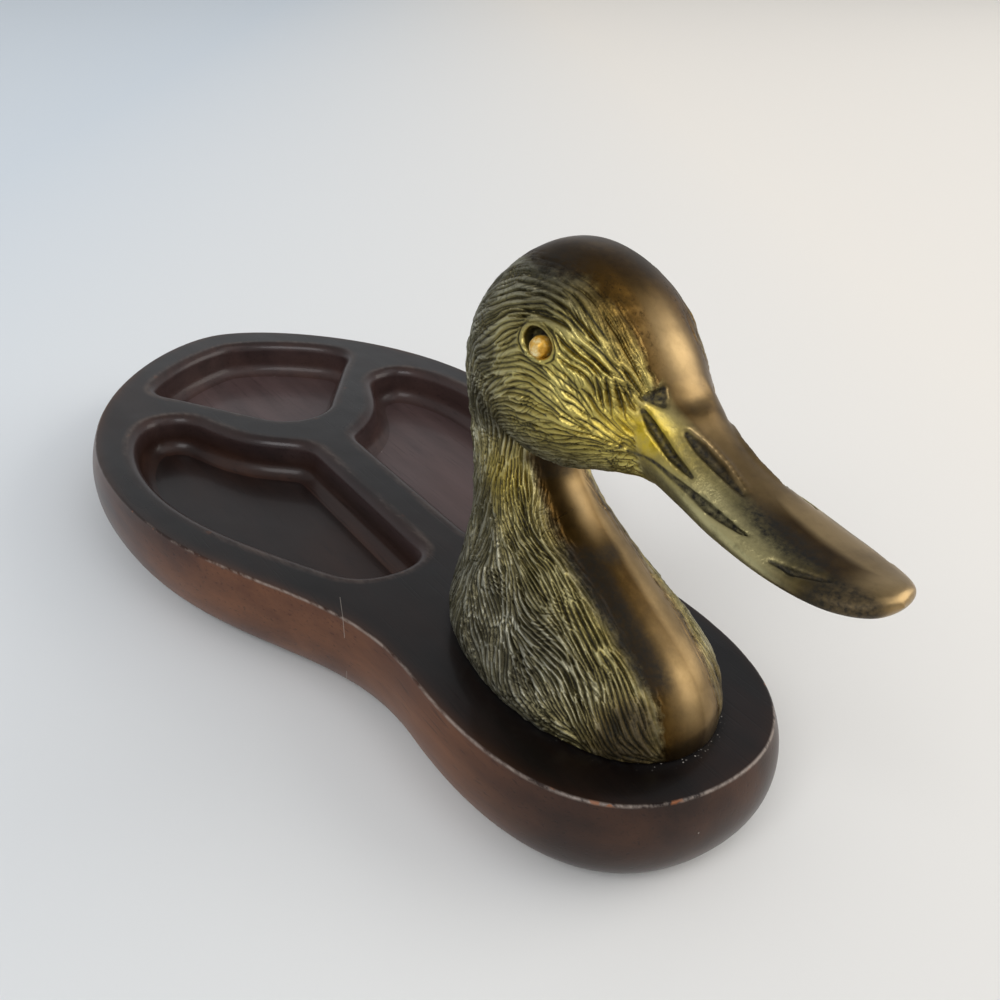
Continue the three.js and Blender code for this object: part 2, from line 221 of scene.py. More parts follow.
def bezier(p0, p1, p2, p3, count):
    """Points and directions along one cubic stretch, without its last point."""
    t = (np.arange(count) / count)[:, None]
    p0, p1, p2, p3 = (np.array(p, float) for p in (p0, p1, p2, p3))
    points = (1 - t) ** 3 * p0 + 3 * (1 - t) ** 2 * t * p1 + 3 * (1 - t) * t * t * p2 + t ** 3 * p3
    slopes = (1 - t) ** 2 * (p1 - p0) + 2 * (1 - t) * t * (p2 - p1) + t * t * (p3 - p2)
    return points, slopes


def plan_path(start, *stretches):
    """Cubic stretches through plan points; a stretch of one point is straight."""
    curves = []
    here = start
    for stretch in stretches:
        if len(stretch) == 1:
            end = stretch[0]
            third = lambda share: [a + (b - a) * share for a, b in zip(here, end)]
            stretch = [third(1 / 3), third(2 / 3), end]
        curves.append([here, *stretch])
        here = stretch[-1]
    return curves


def mirrored(curves):
    """The same stretches on the other side of the middle line, run backwards."""
    return [[(x, -y) for x, y in reversed(curve)] for curve in reversed(curves)]


def sample(curves, count):
    """Points of a closed outline with their outward normals."""
    parts = [bezier(*curve, count) for curve in curves]
    points = np.vstack([p for p, _ in parts])
    slopes = np.vstack([s for _, s in parts])
    slopes /= np.linalg.norm(slopes, axis=1)[:, None]
    return points, np.column_stack([slopes[:, 1], -slopes[:, 0]])


def tray_outline(count):
    """The board's plain outline: a round front lobe, a waist and a broad rear."""
    half = TRAY_WIDTH / 2
    lobe = FRONT_LOBE_WIDTH / 2
    widest = REAR_TIP + WIDEST_FROM_REAR
    waist = FRONT_TIP - WAIST_FROM_FRONT
    fall = waist - widest
    left = plan_path(
        (FRONT_TIP, 0),
        [(FRONT_TIP, 0.68 * lobe), (waist + 0.7 * WAIST_FROM_FRONT, 1.07 * lobe), (waist, lobe)],
        [(waist - 0.37 * fall, 0.925 * lobe), (widest + 0.54 * fall, half), (widest, half)],
        [(widest - 0.58 * WIDEST_FROM_REAR, half), (REAR_TIP, 0.33 * half), (REAR_TIP, 0)],
    )
    return sample(left + mirrored(left), count)


def rear_pocket_outline(count):
    """The pocket between the divider's arms."""
    start = REAR_TIP + REAR_RIM
    half = REAR_POCKET_WIDTH / 2
    at = lambda along, across: (start + along * REAR_POCKET_LENGTH, across * half)
    left = plan_path(
        at(1, 0),
        [at(1, 0.14), at(0.965, 0.27), at(0.9, 0.36)],
        [at(0.56, 0.82)],
        [at(0.49, 0.915), at(0.46, 1), at(0.375, 1)],
        [at(0.23, 1), at(0, 0.3), at(0, 0)],
    )
    return sample(left + mirrored(left), count)


def side_pocket_outline(side, count):
    """The long pocket on one side of the divider's stem."""
    start = REAR_TIP + REAR_RIM + REAR_POCKET_LENGTH + DIVIDER - SIDE_POCKET_WRAP
    inner = DIVIDER / 2
    reach = TRAY_WIDTH / 2 - SIDE_RIM - inner
    at = lambda along, across: (start + along * SIDE_POCKET_LENGTH, inner + across * reach)
    left = plan_path(
        at(0.4, 0),
        [at(0.9, 0)],
        [at(0.965, 0), at(1, 0.1), at(1, 0.25)],
        [at(1, 0.4), at(0.97, 0.487), at(0.92, 0.55)],
        [at(0.69, 0.84), at(0.53, 1), at(0.33, 1)],
        [at(0.16, 1), at(0, 0.87), at(0, 0.68)],
        [at(0, 0.55), at(0.03, 0.47), at(0.09, 0.42)],
        [at(0.15, 0.37), at(0.2, 0.33), at(0.245, 0.245)],
        [at(0.31, 0.12), at(0.32, 0), at(0.4, 0)],
    )
    return sample(left if side > 0 else mirrored(left), count)


def oval(middle, length, width, roundness, count):
    """A superellipse about a place on the middle line, from its half length and half width."""
    angles = np.arange(count) / count * 2 * math.pi
    turns = np.column_stack([np.cos(angles), np.sin(angles)])
    share = np.sign(turns) * np.abs(turns) ** (2 / roundness)
    normals = share / np.array([length, width])
    normals /= np.linalg.norm(normals, axis=1)[:, None]
    return np.array([middle, 0]) + share * np.array([length, width]), normals


def foot_outline(count):
    """The casting's foot on the tray."""
    _, front, back, width = NECK_SECTIONS[0]
    length = (front - back) / 2 * BREAST_LENGTH / 2
    middle = CASTING_X + (front + back) / 2 * BREAST_LENGTH / 2
    return oval(middle, length, width * BREAST_WIDTH / 2, SECTION_ROUNDNESS, count)


def quarter(count):
    """Angles over a quarter turn."""
    return np.arange(count + 1) / count * (math.pi / 2)


def new_object(name, data):
    """An object in the scene for a mesh, a lamp or a camera."""
    made = bpy.data.objects.new(name, data)
    bpy.context.scene.collection.objects.link(made)
    return made


def finish_mesh(name, mesh, material, slot, *nodes):
    """A finished piece at the origin, which rides on the one body and stands for its nodes."""
    piece = new_object(name, mesh)
    mesh.materials.clear()
    mesh.materials.append(material)
    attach(piece, "root")
    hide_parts(*nodes)
    return piece


def write_float(mesh, name, values):
    """A number for each point of a mesh, which its material reads by name."""
    layer = mesh.attributes.get(name) or mesh.attributes.new(name, "FLOAT", "POINT")
    layer.data.foreach_set("value", np.asarray(values, np.float32))


# Materials. A mix node has its factor at input 0, its numbers at 2 and 3 and its colours at 6 and 7;
# the mixed colour is its output 2.

def new_material(name):
    """An empty material, its tree and the piece's own coordinates in it."""
    material = bpy.data.materials.new(name)
    material.use_nodes = True
    tree = material.node_tree
    tree.nodes.clear()
    return material, tree, add(tree, "TexCoord", output="Object")


# What the wood keeps for each of its points
WOOD_MARKS = ("worn", "thin_stain", "residue", "grime", "haze")


def lacquered_mahogany():
    """Mahogany stained near black-brown under a buffed satin lacquer: open pores run along the
    board, the staining thins to red-brown on the sides and floors, and the outer edge is pale with wear.
    The pockets' lips carry a thin painted highlight, their walls and floors a grey painted sheen that
    stands in for reflections, and their coves are darker and duller."""
    material, tree, place = new_material("lacquered_stained_mahogany")
    # Marks by their width in millimetres, detail, roughness and how many times longer than wide they are
    figure, patches, pores, scuffs, chips, ripple = [
        add(tree, "TexNoise", {"Scale": 1.0, "Detail": detail, "Roughness": rough, "Vector": add(
            tree, "Mapping", {"Vector": place, "Scale": (1 / (run * size * MM), *[1 / (size * MM)] * 2)})})
        for size, detail, rough, run in (
            (9, 5, 0.6, 9), (34, 3, 0.5, 2), (0.55, 2, 0.5, 26), (1.6, 5, 0.65, 3), (4, 2, 0.5, 1),
            (11, 1, 0.4, 1.5))]
    worn, thin_stain, residue, grime, haze = [
        add(tree, "Attribute", output="Fac", attribute_name=name) for name in WOOD_MARKS]

    tone = add(tree, "Mix", {0: 0.4, 2: patches, 3: figure})
    dark_stain, red_stain = [
        add(tree, "ValToRGB", {"Fac": tone}, stops=stops) for stops in (
            ((0.38, "#050303"), (0.5, "#0b0605"), (0.66, "#1a0d09")),
            ((0.36, "#2a170f"), (0.5, "#50301f"), (0.66, "#744a2f")))]
    colour = add(tree, "Mix", {0: thin_stain, 6: dark_stain, 7: red_stain}, 2, data_type="RGBA")

    # Dust, crumbs of old wax round the casting's foot, and nicks in the side, as scattered spots:
    # their spacing and radius in millimetres and how much they cover
    dust, crumbs, nicks = [
        add(tree, "MapRange", {
            "From Min": radius / apart, "From Max": 0.6 * radius / apart, "To Max": strength,
            "Value": add(tree, "TexVoronoi", {"Vector": place, "Scale": 1 / (apart * MM)})})
        for apart, radius, strength in ((11, 0.22, 0.5), (0.9, 0.22, 0.6), (24, 0.75, 0.7))]
    for source, low, high in (
            (scuffs, 0.46, 0.56),
            (add(tree, "SeparateXYZ", {0: place}, "X"), CRUMBS_FROM * MM, CRUMBS_FULL * MM)):
        crumbs = add(tree, "Math", {0: crumbs, 1: add(tree, "MapRange", {
            "Value": source, "From Min": low, "From Max": high})}, operation="MULTIPLY")

    # Shares of the surface: what each goes with, what it is read from, that one's range and its own
    uneven = add(tree, "Mix", {0: 0.5, 2: scuffs, 3: patches})
    sheen_layer, edge_wear_and_highlight, raw_wood, smear, nicks, crumbs = [
        add(tree, "Math", {0: whole, 1: add(tree, "MapRange", {
            "Value": source, "From Min": low, "From Max": high, "To Min": least, "To Max": most})},
            operation="MULTIPLY")
        for whole, source, low, high, least, most in (
            (haze, figure, 0.3, 0.7, 0.5, 0.9), (worn, uneven, 0.48, 0.6, 0.0, 0.65),
            (worn, chips, 0.66, 0.7, 0.0, 1.0), (residue, scuffs, 0.3, 0.5, 0.0, 1.0),
            (nicks, thin_stain, 0.6, 0.8, 0.0, 1.0), (crumbs, residue, 0.4, 0.8, 0.0, 1.0))]
    open_pores = add(tree, "MapRange", {
        "Value": pores, "From Min": 0.6, "From Max": 0.72, "To Max": 0.45})

    # One long scratch over the edge at the waist, as its distance along and across
    from_start = add(tree, "VectorMath", {
        0: place, 1: [v * MM for v in SCRATCH_START]}, operation="SUBTRACT")
    scratch = SCRATCH_STRENGTH
    for way, middle, half in (
            ((-SCRATCH_WAY[1], SCRATCH_WAY[0], 0), 0.0, SCRATCH_WIDTH * MM / 2),
            (SCRATCH_WAY, SCRATCH_LENGTH * MM / 2, SCRATCH_LENGTH * MM / 2)):
        distance = add(tree, "VectorMath", {0: from_start, 1: way}, "Value", operation="DOT_PRODUCT")
        within = add(tree, "Math", {0: distance, 1: middle, 2: half}, operation="COMPARE")
        scratch = add(tree, "Math", {0: within, 1: scratch}, operation="MULTIPLY")

    # The first layer is a grey painted sheen that stands in for reflections in the pockets; the pale edge
    # layer is wear on the outer edge and a painted highlight on the pockets' lips
    for share, code in (
            (sheen_layer, "#5c4b4b"), (open_pores, "#0a0504"), (grime, "#080505"), (smear, "#070404"),
            (edge_wear_and_highlight, "#a3958a"), (raw_wood, "#84502f"), (nicks, "#83604a"), (scratch, "#a39a90"),
            (crumbs, "#c4bcb3"), (dust, "#b9b0a6")):
        colour = add(tree, "Mix", {0: share, 6: colour, 7: linear(code)}, 2, data_type="RGBA")
    rough = add(tree, "MapRange", {
        "Value": patches, "From Min": 0.35, "From Max": 0.7, "To Min": 0.26, "To Max": 0.4})
    for share, more in ((edge_wear_and_highlight, 0.25), (grime, 0.3), (smear, 0.3), (thin_stain, 0.08)):
        rough = add(tree, "Math", {0: share, 1: more, 2: rough}, operation="MULTIPLY_ADD")
    height = 0.0
    for mark, rise in ((ripple, 6.0), (scuffs, 0.5), (open_pores, -0.7), (nicks, -1.5)):
        height = add(tree, "Math", {0: mark, 1: rise, 2: height}, operation="MULTIPLY_ADD")
    bump = add(tree, "Bump", {"Height": height, "Strength": 0.25, "Distance": 0.2 * MM})
    coat = add(tree, "MapRange", {"Value": grime, "To Min": 0.17, "To Max": 0.0})
    shader = add(tree, "BsdfPrincipled", {
        "Base Color": colour, "Roughness": rough, "Normal": bump, "IOR": 1.5,
        "Specular IOR Level": 0.22, "Coat Weight": coat, "Coat Roughness": 0.12, "Coat IOR": 1.5})
    add(tree, "OutputMaterial", {"Surface": shader})
    return material


# What the brass keeps for each of its points
BRASS_MARKS = ("feathers", "groove", "scratch", "polish", "border", "rubbed", "bare", "warmth", "shade",
               "brown", "pale")


def patinated_brass():
    """Cast brass with a liver-of-sulphur patina: near black left in every cut, olive and grey-green
    on the ridges, bare yellow at the bill's root and bronze-brown where it was buffed. The ridges'
    pale tops are partly wear and partly painted highlight, paler patches are painted highlights, and
    painted shade and painted dark reflections darken it in places."""
    material, tree, place = new_material("patinated_cast_brass")
    # Clouds by their size in millimetres, detail and roughness; the finest is drawn coarser than grit
    drift, mottle, spots, grit = [
        add(tree, "TexNoise", {
            "Vector": place, "Scale": 1 / (size * MM), "Detail": detail, "Roughness": rough})
        for size, detail, rough in ((11, 4, 0.6), (2.2, 5, 0.65), (0.9, 3, 0.6), (0.45, 3, 0.6))]
    feathers, groove, scratch, polish, border, rubbed, bare, warmth, shade, brown, pale = [
        add(tree, "Attribute", output="Fac", attribute_name=name) for name in BRASS_MARKS]

    tone = add(tree, "Mix", {0: 0.45, 2: drift, 3: mottle})
    grey_ridge, olive_ridge, buffed = [
        add(tree, "ValToRGB", {"Fac": tone}, stops=stops) for stops in (
            ((0.34, "#625f4b"), (0.5, "#888269"), (0.66, "#aba47f")),
            ((0.34, "#958548"), (0.5, "#bcaa5c"), (0.66, "#d8c87c")),
            ((0.32, "#30210c"), (0.5, "#463214"), (0.68, "#604721")))]
    colour, crest_wear_and_highlight = [
        add(tree, "Mix", {0: warmth, 6: grey, 7: olive}, 2, data_type="RGBA")
        for grey, olive in ((grey_ridge, olive_ridge), (linear("#d0cdb8"), linear("#bfb066")))]

    # The buffed stripe has a ragged edge
    ragged = add(tree, "MapRange", {
        "Value": mottle, "From Min": 0.25, "From Max": 0.75, "To Min": -0.4, "To Max": 0.4})
    stripe = add(tree, "Math", {0: ragged, 1: border, 2: polish}, operation="MULTIPLY_ADD")
    stripe = add(tree, "MapRange", {"Value": stripe, "From Min": 0.1, "From Max": 0.9})

    # Shares of the surface: what each goes with, what it is read from, that one's range and its own.
    # Scuffs and pits are left along the stripe, and the crests are the ridges between the strokes; their pale
    # colour is partly wear and partly painted highlight. The paler share is painted highlight, and the last,
    # near-black share is patina in the cuts and painted shade.
    scuffs, pits, crest, paler, yellow, stain = [
        add(tree, "Math", {0: whole, 1: add(tree, "MapRange", {
            "Value": source, "From Min": low, "From Max": high, "To Min": least, "To Max": most})},
            operation="MULTIPLY")
        for whole, source, low, high, least, most in (
            (border, mottle, 0.36, 0.58, 0.0, 0.8), (border, spots, 0.54, 0.68, 0.0, 0.8),
            (feathers, groove, 0.44, 0.14, 0.0, 0.7), (rubbed, drift, 0.3, 0.6, 0.55, 1.0),
            (bare, mottle, 0.38, 0.62, 0.5, 1.0), (shade, spots, 0.35, 0.65, 1.0, 0.72))]
    flank, cut, thin_cut, soot = [
        add(tree, "MapRange", {"Value": source, "From Min": low, "From Max": high, "To Max": most})
        for source, low, high, most in (
            (groove, 0.36, 0.8, 0.7), (groove, 0.66, 0.94, 1.0), (scratch, 0.5, 0.9, 0.6),
            (mottle, 0.52, 0.7, 0.45))]
    crest, soot = [
        add(tree, "Math", {0: share, 1: add(tree, "MapRange", {
            "Value": over, "To Min": 1.0, "To Max": left})}, operation="MULTIPLY")
        for share, over, left in ((crest, bare, 0.3), (soot, stripe, 0.35))]

    # Layers: the crest colour is partly painted highlight, the bill side's pale colour and the paler colour
    # are painted highlights, and the last, near-black one is patina in the cuts and painted shade
    for share, layer in (
            (yellow, linear("#c6a80e")), (crest, crest_wear_and_highlight), (pale, linear("#cfc38e")), (stripe, buffed),
            (brown, linear("#6f5020")), (paler, linear("#a68d64")), (scuffs, linear("#33240f")),
            (flank, linear("#5a522f")), (thin_cut, linear("#332e1a")), (soot, linear("#3b361f")),
            (pits, linear("#1d150b")), (cut, linear("#221e11")), (stain, linear("#17140d"))):
        colour = add(tree, "Mix", {0: share, 6: colour, 7: layer}, 2, data_type="RGBA")

    dull = add(tree, "Math", {0: cut, 1: stain}, operation="MAXIMUM", use_clamp=True)
    rough = add(tree, "MapRange", {"Value": stripe, "To Min": 0.33, "To Max": 0.34})
    for share, more in ((dull, 0.25), (pits, 0.2)):
        rough = add(tree, "Math", {0: share, 1: more, 2: rough}, operation="MULTIPLY_ADD")
    metal = add(tree, "MapRange", {"Value": dull, "From Min": 0.3, "To Min": 1.0, "To Max": 0.6})
    metal = add(tree, "Math", {0: metal, 1: add(tree, "MapRange", {
        "Value": bare, "To Min": 1.0, "To Max": 0.5})}, operation="MULTIPLY")
    depth = add(tree, "MapRange", {"Value": stripe, "To Min": 1.0, "To Max": 0.12})
    height = add(tree, "Math", {0: grit, 1: depth}, operation="MULTIPLY")
    height = add(tree, "Math", {0: pits, 1: -0.6, 2: height}, operation="MULTIPLY_ADD")
    bump = add(tree, "Bump", {"Height": height, "Strength": 0.4, "Distance": 0.2 * MM})
    shader = add(tree, "BsdfPrincipled", {
        "Base Color": colour, "Roughness": rough, "Metallic": metal, "Normal": bump})
    add(tree, "OutputMaterial", {"Surface": shader})
    return material


def amber_bead():
    """A turned brass bead with an amber tarnish: pale gold where the tarnish is thin, brown speckles."""
    material, tree, place = new_material("tarnished_brass_bead")
    blotch = add(tree, "TexNoise", {
        "Vector": place, "Scale": 1 / (1.8 * MM), "Detail": 5.0, "Roughness": 0.6})
    colour = add(tree, "ValToRGB", {"Fac": blotch}, stops=(
        (0.33, "#a06c1d"), (0.46, "#d6a338"), (0.64, "#f0dfa8")))
    rough = add(tree, "MapRange", {
        "Value": blotch, "From Min": 0.3, "From Max": 0.7, "To Min": 0.4, "To Max": 0.26})
    shader = add(tree, "BsdfPrincipled", {"Base Color": colour, "Roughness": rough, "Metallic": 0.4})
    add(tree, "OutputMaterial", {"Surface": shader})
    return material


def plated_steel(name, code, grain):
    """Plated steel: a bright skin that has gone dull in spots."""
    material, tree, place = new_material(name)
    spots = add(tree, "TexNoise", {"Vector": place, "Scale": 1 / (grain * MM), "Detail": 4.0})
    dull = add(tree, "MapRange", {"Value": spots, "From Min": 0.45, "From Max": 0.7})
    colour = add(tree, "Mix", {0: dull, 6: linear(code), 7: linear("#6e6d69")}, 2, data_type="RGBA")
    rough = add(tree, "MapRange", {"Value": dull, "To Min": 0.3, "To Max": 0.5})
    shader = add(tree, "BsdfPrincipled", {"Base Color": colour, "Roughness": rough, "Metallic": 1.0})
    add(tree, "OutputMaterial", {"Surface": shader})
    return material


def baize_felt():
    """Pressed wool baize: matted fibres drawn 0.8 mm apart so that they show, soft sheen, paler nap."""
    material, tree, place = new_material("green_wool_baize")
    fibres, nap = [
        add(tree, "TexNoise", {
            "Vector": place, "Scale": 1 / (size * MM), "Detail": detail, "Roughness": rough})
        for size, detail, rough in ((0.8, 6, 0.75), (18, 3, 0.5))]
    tone = add(tree, "Mix", {0: 0.3, 2: fibres, 3: nap})
    colour = add(tree, "ValToRGB", {"Fac": tone}, stops=(
        (0.3, "#15291d"), (0.55, "#24402e"), (0.75, "#38583f")))
    bump = add(tree, "Bump", {"Height": fibres, "Strength": 0.6, "Distance": 0.4 * MM})
    shader = add(tree, "BsdfPrincipled", {
        "Base Color": colour, "Roughness": 0.95, "Sheen Weight": 0.4, "Sheen Roughness": 0.5, "Normal": bump})
    add(tree, "OutputMaterial", {"Surface": shader})
    return material


def matt_paper():
    """The pale matt paper that the tray stands on, with painted light and shade in its colour: bluish and a
    little darker on one side, then warm, and painted shade far off.
    """
    material, tree, place = new_material("pale_matt_paper")
    tone = add(tree, "VectorMath", {0: place, 1: PAPER_WAY}, "Value", operation="DOT_PRODUCT")
    tone = add(tree, "MapRange", {"Value": tone, "From Min": PAPER_FROM, "From Max": PAPER_TO})
    # Painted light and shade: a cool, darker stop on one side, the paper's own warm white, and painted shade
    # far off
    colour = add(tree, "ValToRGB", {"Fac": tone}, stops=(
        (0.0, "#d3dbe2"), (0.14, "#efeae2"), (0.5, "#efeae2"), (0.75, "#98948e")))
    shader = add(tree, "BsdfPrincipled", {
        "Base Color": colour, "Roughness": 1.0, "Specular IOR Level": 0.1})
    add(tree, "OutputMaterial", {"Surface": shader})
    return material


# The tray

class Sheet:
    """A mesh made of rings that are joined, with a normal and the wood's marks for each point."""

    def __init__(self):
        self.points = []
        self.normals = []
        self.faces = []
        self.marks = {name: [] for name in WOOD_MARKS}

    def ring(self, outline, inset, z, lean, after=None, **marks):
        """A level ring of an outline, joined to the one that it comes after. lean is the outward and
        the upward part of its normal."""
        places, ways = outline
        first = len(self.points)
        out, up = lean
        for (x, y), (ahead, across) in zip(places - inset * ways, ways):
            self.points.append((x, y, z))
            self.normals.append((ahead * out, across * out, up))
        ring = list(range(first, len(self.points)))
        for name, values in self.marks.items():
            values += [marks.get(name, 0.0)] * len(ring)
        if after:
            self.join(after, ring)
        return ring

    def join(self, low, high):
        """Quads between two rings; the faces look outwards where low lies below high."""
        count = len(low)
        for i in range(count):
            j = (i + 1) % count
            self.faces.append((low[i], low[j], high[j], high[i]))

    def fill(self, rings, upwards):
        """A flat face with holes between closed rings."""
        flat = bmesh.new()
        verts = {}
        for ring in rings:
            for i in ring:
                verts[i] = flat.verts.new(self.points[i])
            for a, b in zip(ring, ring[1:] + ring[:1]):
                flat.edges.new((verts[a], verts[b]))
        back = {v: i for i, v in verts.items()}
        made = bmesh.ops.triangle_fill(flat, edges=flat.edges[:], use_beauty=True, use_dissolve=False)
        for face in (f for f in made["geom"] if isinstance(f, bmesh.types.BMFace)):
            corner = [back[v] for v in face.verts]
            face.normal_update()
            self.faces.append(corner if (face.normal.z > 0) == upwards else corner[::-1])
        flat.free()


# Points on each stretch of the outlines, round the casting's foot and round a hole, and the steps of
# the side, the edge and the pockets' rounded lips and coves
CURVE_POINTS = 44
POCKET_POINTS = 20
FOOT_POINTS = 160
HOLE_POINTS = 32
SIDE_STEPS = 22
EDGE_STEPS = 6
COVE_STEPS = 8
# How thin the stain is on the side and what the edge takes off it, and on the top by its inset
SIDE_STAIN = 0.95
EDGE_STAIN = 0.7
RIM_STAIN = ((1.5, 0.15), (2.5, 0.05), (4, 0))
# A pocket's lip: the ring of the flat top round it, its painted highlight, how thin its stain is and its
# painted sheen
LIP_MARGIN = 1.6
LIP_HIGHLIGHT = 0.16
LIP_STAIN = 0.12
LIP_SHEEN = 0.4
# A pocket's cove: how thin its stain is, how much darker and duller it is, and how far inside it the floor's
# own look begins
COVE_STAIN = 0.3
COVE_DARKENING = 0.15
FLOOR_STEP = 0.2
# How much grey painted sheen, standing in for reflections in the lacquer, lies on the floors of the rear, the
# left and the right pocket
POCKET_SHEEN = (0.75, 0.7, 0.05)
# Old wax round the casting's foot, by its inset from the outline
FOOT_WAX = ((-3.2, 0), (-1.5, 0.45), (-0.5, 1), (1.5, 1))
# Knocks along the edge: coarse and fine ones to a millimetre, and how deep they go
KNOCKS = 0.16
FINE_KNOCKS = 0.7
KNOCK_DEPTH = 0.5
# Where the stain on the side begins to darken towards the front and where it is darkest, and by how much
DARK_FRONT = (80, 128)
DARK_FRONT_SHARE = 0.75


def make_tray(material):
    board = Sheet()
    outline = tray_outline(CURVE_POINTS)
    side_points, side_slopes = bezier(
        (FOOT_INSET, TRAY_FLOOR), (-0.45 * SIDE_BULGE, TRAY_FLOOR + 0.05 * TRAY_THICKNESS),
        (-2.2 * SIDE_BULGE, TRAY_TOP - 0.42 * TRAY_THICKNESS), (0, TRAY_TOP - EDGE_ROUNDING), SIDE_STEPS)
    last = foot = None
    for (inset, z), (across, rise) in zip(side_points, side_slopes):
        length = math.hypot(across, rise)
        last = board.ring(outline, inset, z, (rise / length, across / length), last, thin_stain=SIDE_STAIN)
        foot = foot or last
    for angle in quarter(EDGE_STEPS):
        out, up = math.cos(angle), math.sin(angle)
        last = board.ring(outline, EDGE_ROUNDING * (1 - out), TRAY_TOP - EDGE_ROUNDING * (1 - up), (out, up),
                          last, worn=math.sin(2 * angle) ** 2, thin_stain=SIDE_STAIN - EDGE_STAIN * up)
    for inset, stain in RIM_STAIN:
        last = board.ring(outline, inset, TRAY_TOP, (0, 1), last, thin_stain=stain)
    top_rings = [last]

    side_pockets = [side_pocket_outline(side, POCKET_POINTS) for side in (1, -1)]
    floor = TRAY_TOP - POCKET_DEPTH
    for pocket, sheen_share in zip([rear_pocket_outline(POCKET_POINTS), *side_pockets], POCKET_SHEEN):
        last = board.ring(pocket, -LIP_MARGIN, TRAY_TOP, (0, 1))
        top_rings.append(last)
        for angle in quarter(COVE_STEPS):
            inwards, up = math.sin(angle), math.cos(angle)
            z = TRAY_TOP - LIP_ROUNDING * (1 - up)
            # A thin painted highlight along the top of each lip, in the same mark as the outer edge's wear
            worn = LIP_HIGHLIGHT * max(math.cos(4 * angle), 0) * (angle < 0.5)
            last = board.ring(pocket, LIP_ROUNDING * inwards, z, (-inwards, up), last,
                              worn=worn, thin_stain=LIP_STAIN, haze=LIP_SHEEN * inwards)
        for angle in quarter(COVE_STEPS):
            inwards, up = math.cos(angle), math.sin(angle)
            inset = LIP_ROUNDING + FLOOR_FILLET * (1 - inwards)
            last = board.ring(pocket, inset, floor + FLOOR_FILLET * (1 - up), (-inwards, up), last,
                              thin_stain=COVE_STAIN, grime=COVE_DARKENING, haze=0.5 * sheen_share + 0.1)
        last = board.ring(pocket, LIP_ROUNDING + FLOOR_FILLET + FLOOR_STEP, floor, (0, 1), last,
                          thin_stain=0.05 + 0.2 * sheen_share, haze=sheen_share)
        board.fill([last], upwards=True)

    casting_foot = foot_outline(FOOT_POINTS)
    last = None
    for inset, residue in FOOT_WAX:
        ring = board.ring(casting_foot, inset, TRAY_TOP, (0, 1), last, residue=residue)
        if last is None:
            top_rings.append(ring)
        last = ring
    under_casting = [last]
    bottom_rings = [foot]
    seat = TRAY_FLOOR + COUNTERBORE_DEPTH
    for x in SCREW_PLACES:
        last = None
        for radius, z in (
                (SCREW_HOLE, TRAY_TOP), (SCREW_HOLE, seat), (COUNTERBORE, seat), (COUNTERBORE, TRAY_FLOOR)):
            ring = board.ring(oval(x, radius, radius, 2, HOLE_POINTS), 0, z, (-1, 0), last)
            if last is None:
                under_casting.append(ring)
            last = ring
        bottom_rings.append(last)
    board.fill(top_rings, upwards=True)
    board.fill(under_casting, upwards=True)
    board.fill(bottom_rings, upwards=False)

    points = np.array(board.points)
    knocked = np.zeros(len(points))
    for i in np.nonzero(np.array(board.marks["worn"]) > 0.6)[0]:
        x, y, _ = points[i]
        knock = noise.noise(Vector((x * KNOCKS, y * KNOCKS, 3)))
        fine = noise.noise(Vector((x * FINE_KNOCKS, y * FINE_KNOCKS, 8)))
        knocked[i] = max(knock + 0.5 * fine - 0.5, 0) * KNOCK_DEPTH
    points -= np.array(board.normals) * knocked[:, None]
    mesh = bpy.data.meshes.new("lacquered_tray")
    mesh.from_pydata((points * MM).tolist(), [], board.faces)
    mesh.shade_smooth()
    darker_front = 1 - DARK_FRONT_SHARE * smooth(*DARK_FRONT, points[:, 0])
    board.marks["thin_stain"] = np.array(board.marks["thin_stain"]) * darker_front
    for name, values in board.marks.items():
        write_float(mesh, name, values)
    weighted = np.zeros((len(points), 3))
    for polygon in mesh.polygons:
        push = np.array(polygon.normal) * polygon.area
        for v in polygon.vertices:
            weighted[v] += push
    weighted /= np.maximum(np.linalg.norm(weighted, axis=1), 1e-12)[:, None]
    mesh.normals_split_custom_set_from_vertices(weighted.tolist())
    return finish_mesh("lacquered_tray", mesh, material, "stained_hardwood", "tray_base")


# The felt's edge: how far it draws in at each height, the row where it is widest, how fuzzy it is, and
# clumps of fuzz to a millimetre
FELT_EDGE = ((0.3, 0), (0.05, 0.3), (0, 0.75), (0.05, 1.2), (0.25, FELT_THICKNESS))
FELT_WIDEST = 2
FELT_FUZZ = 0.12
FUZZ_CLUMPS = 1.3


def make_felt(material):
    outline = tray_outline(CURVE_POINTS)
    inset = FOOT_INSET + FELT_MARGIN
    pad = Sheet()
    rings = [pad.ring(outline, inset + cut, z, (1, 0)) for cut, z in FELT_EDGE]
    for low, high in zip(rings, rings[1:]):
        pad.join(low, high)
    pad.fill([rings[0]], upwards=False)
    pad.fill([rings[-1]], upwards=True)
    points = np.array(pad.points)
    for i, (x, y, z) in enumerate(points):
        fuzz = FELT_FUZZ * noise.noise(Vector((x * FUZZ_CLUMPS, y * FUZZ_CLUMPS, z)))
        points[i, :2] += fuzz * np.array([x, y]) / math.hypot(x, y)
    mesh = bpy.data.meshes.new("felt_sheet")
    mesh.from_pydata((points * MM).tolist(), [], pad.faces)
    piece = finish_mesh("felt_sheet", mesh, material, "baize_felt", "felt_pad")
    x, y = points[rings[FELT_WIDEST], :2].T
    return piece


# The casting's form, in millimetres from the tray's top under the breast

GRID = 0.47
GRID_LOW = np.array([-44.0, -25.85, -2.2])
GRID_HIGH = np.array([69.0, 25.85, 92.0])


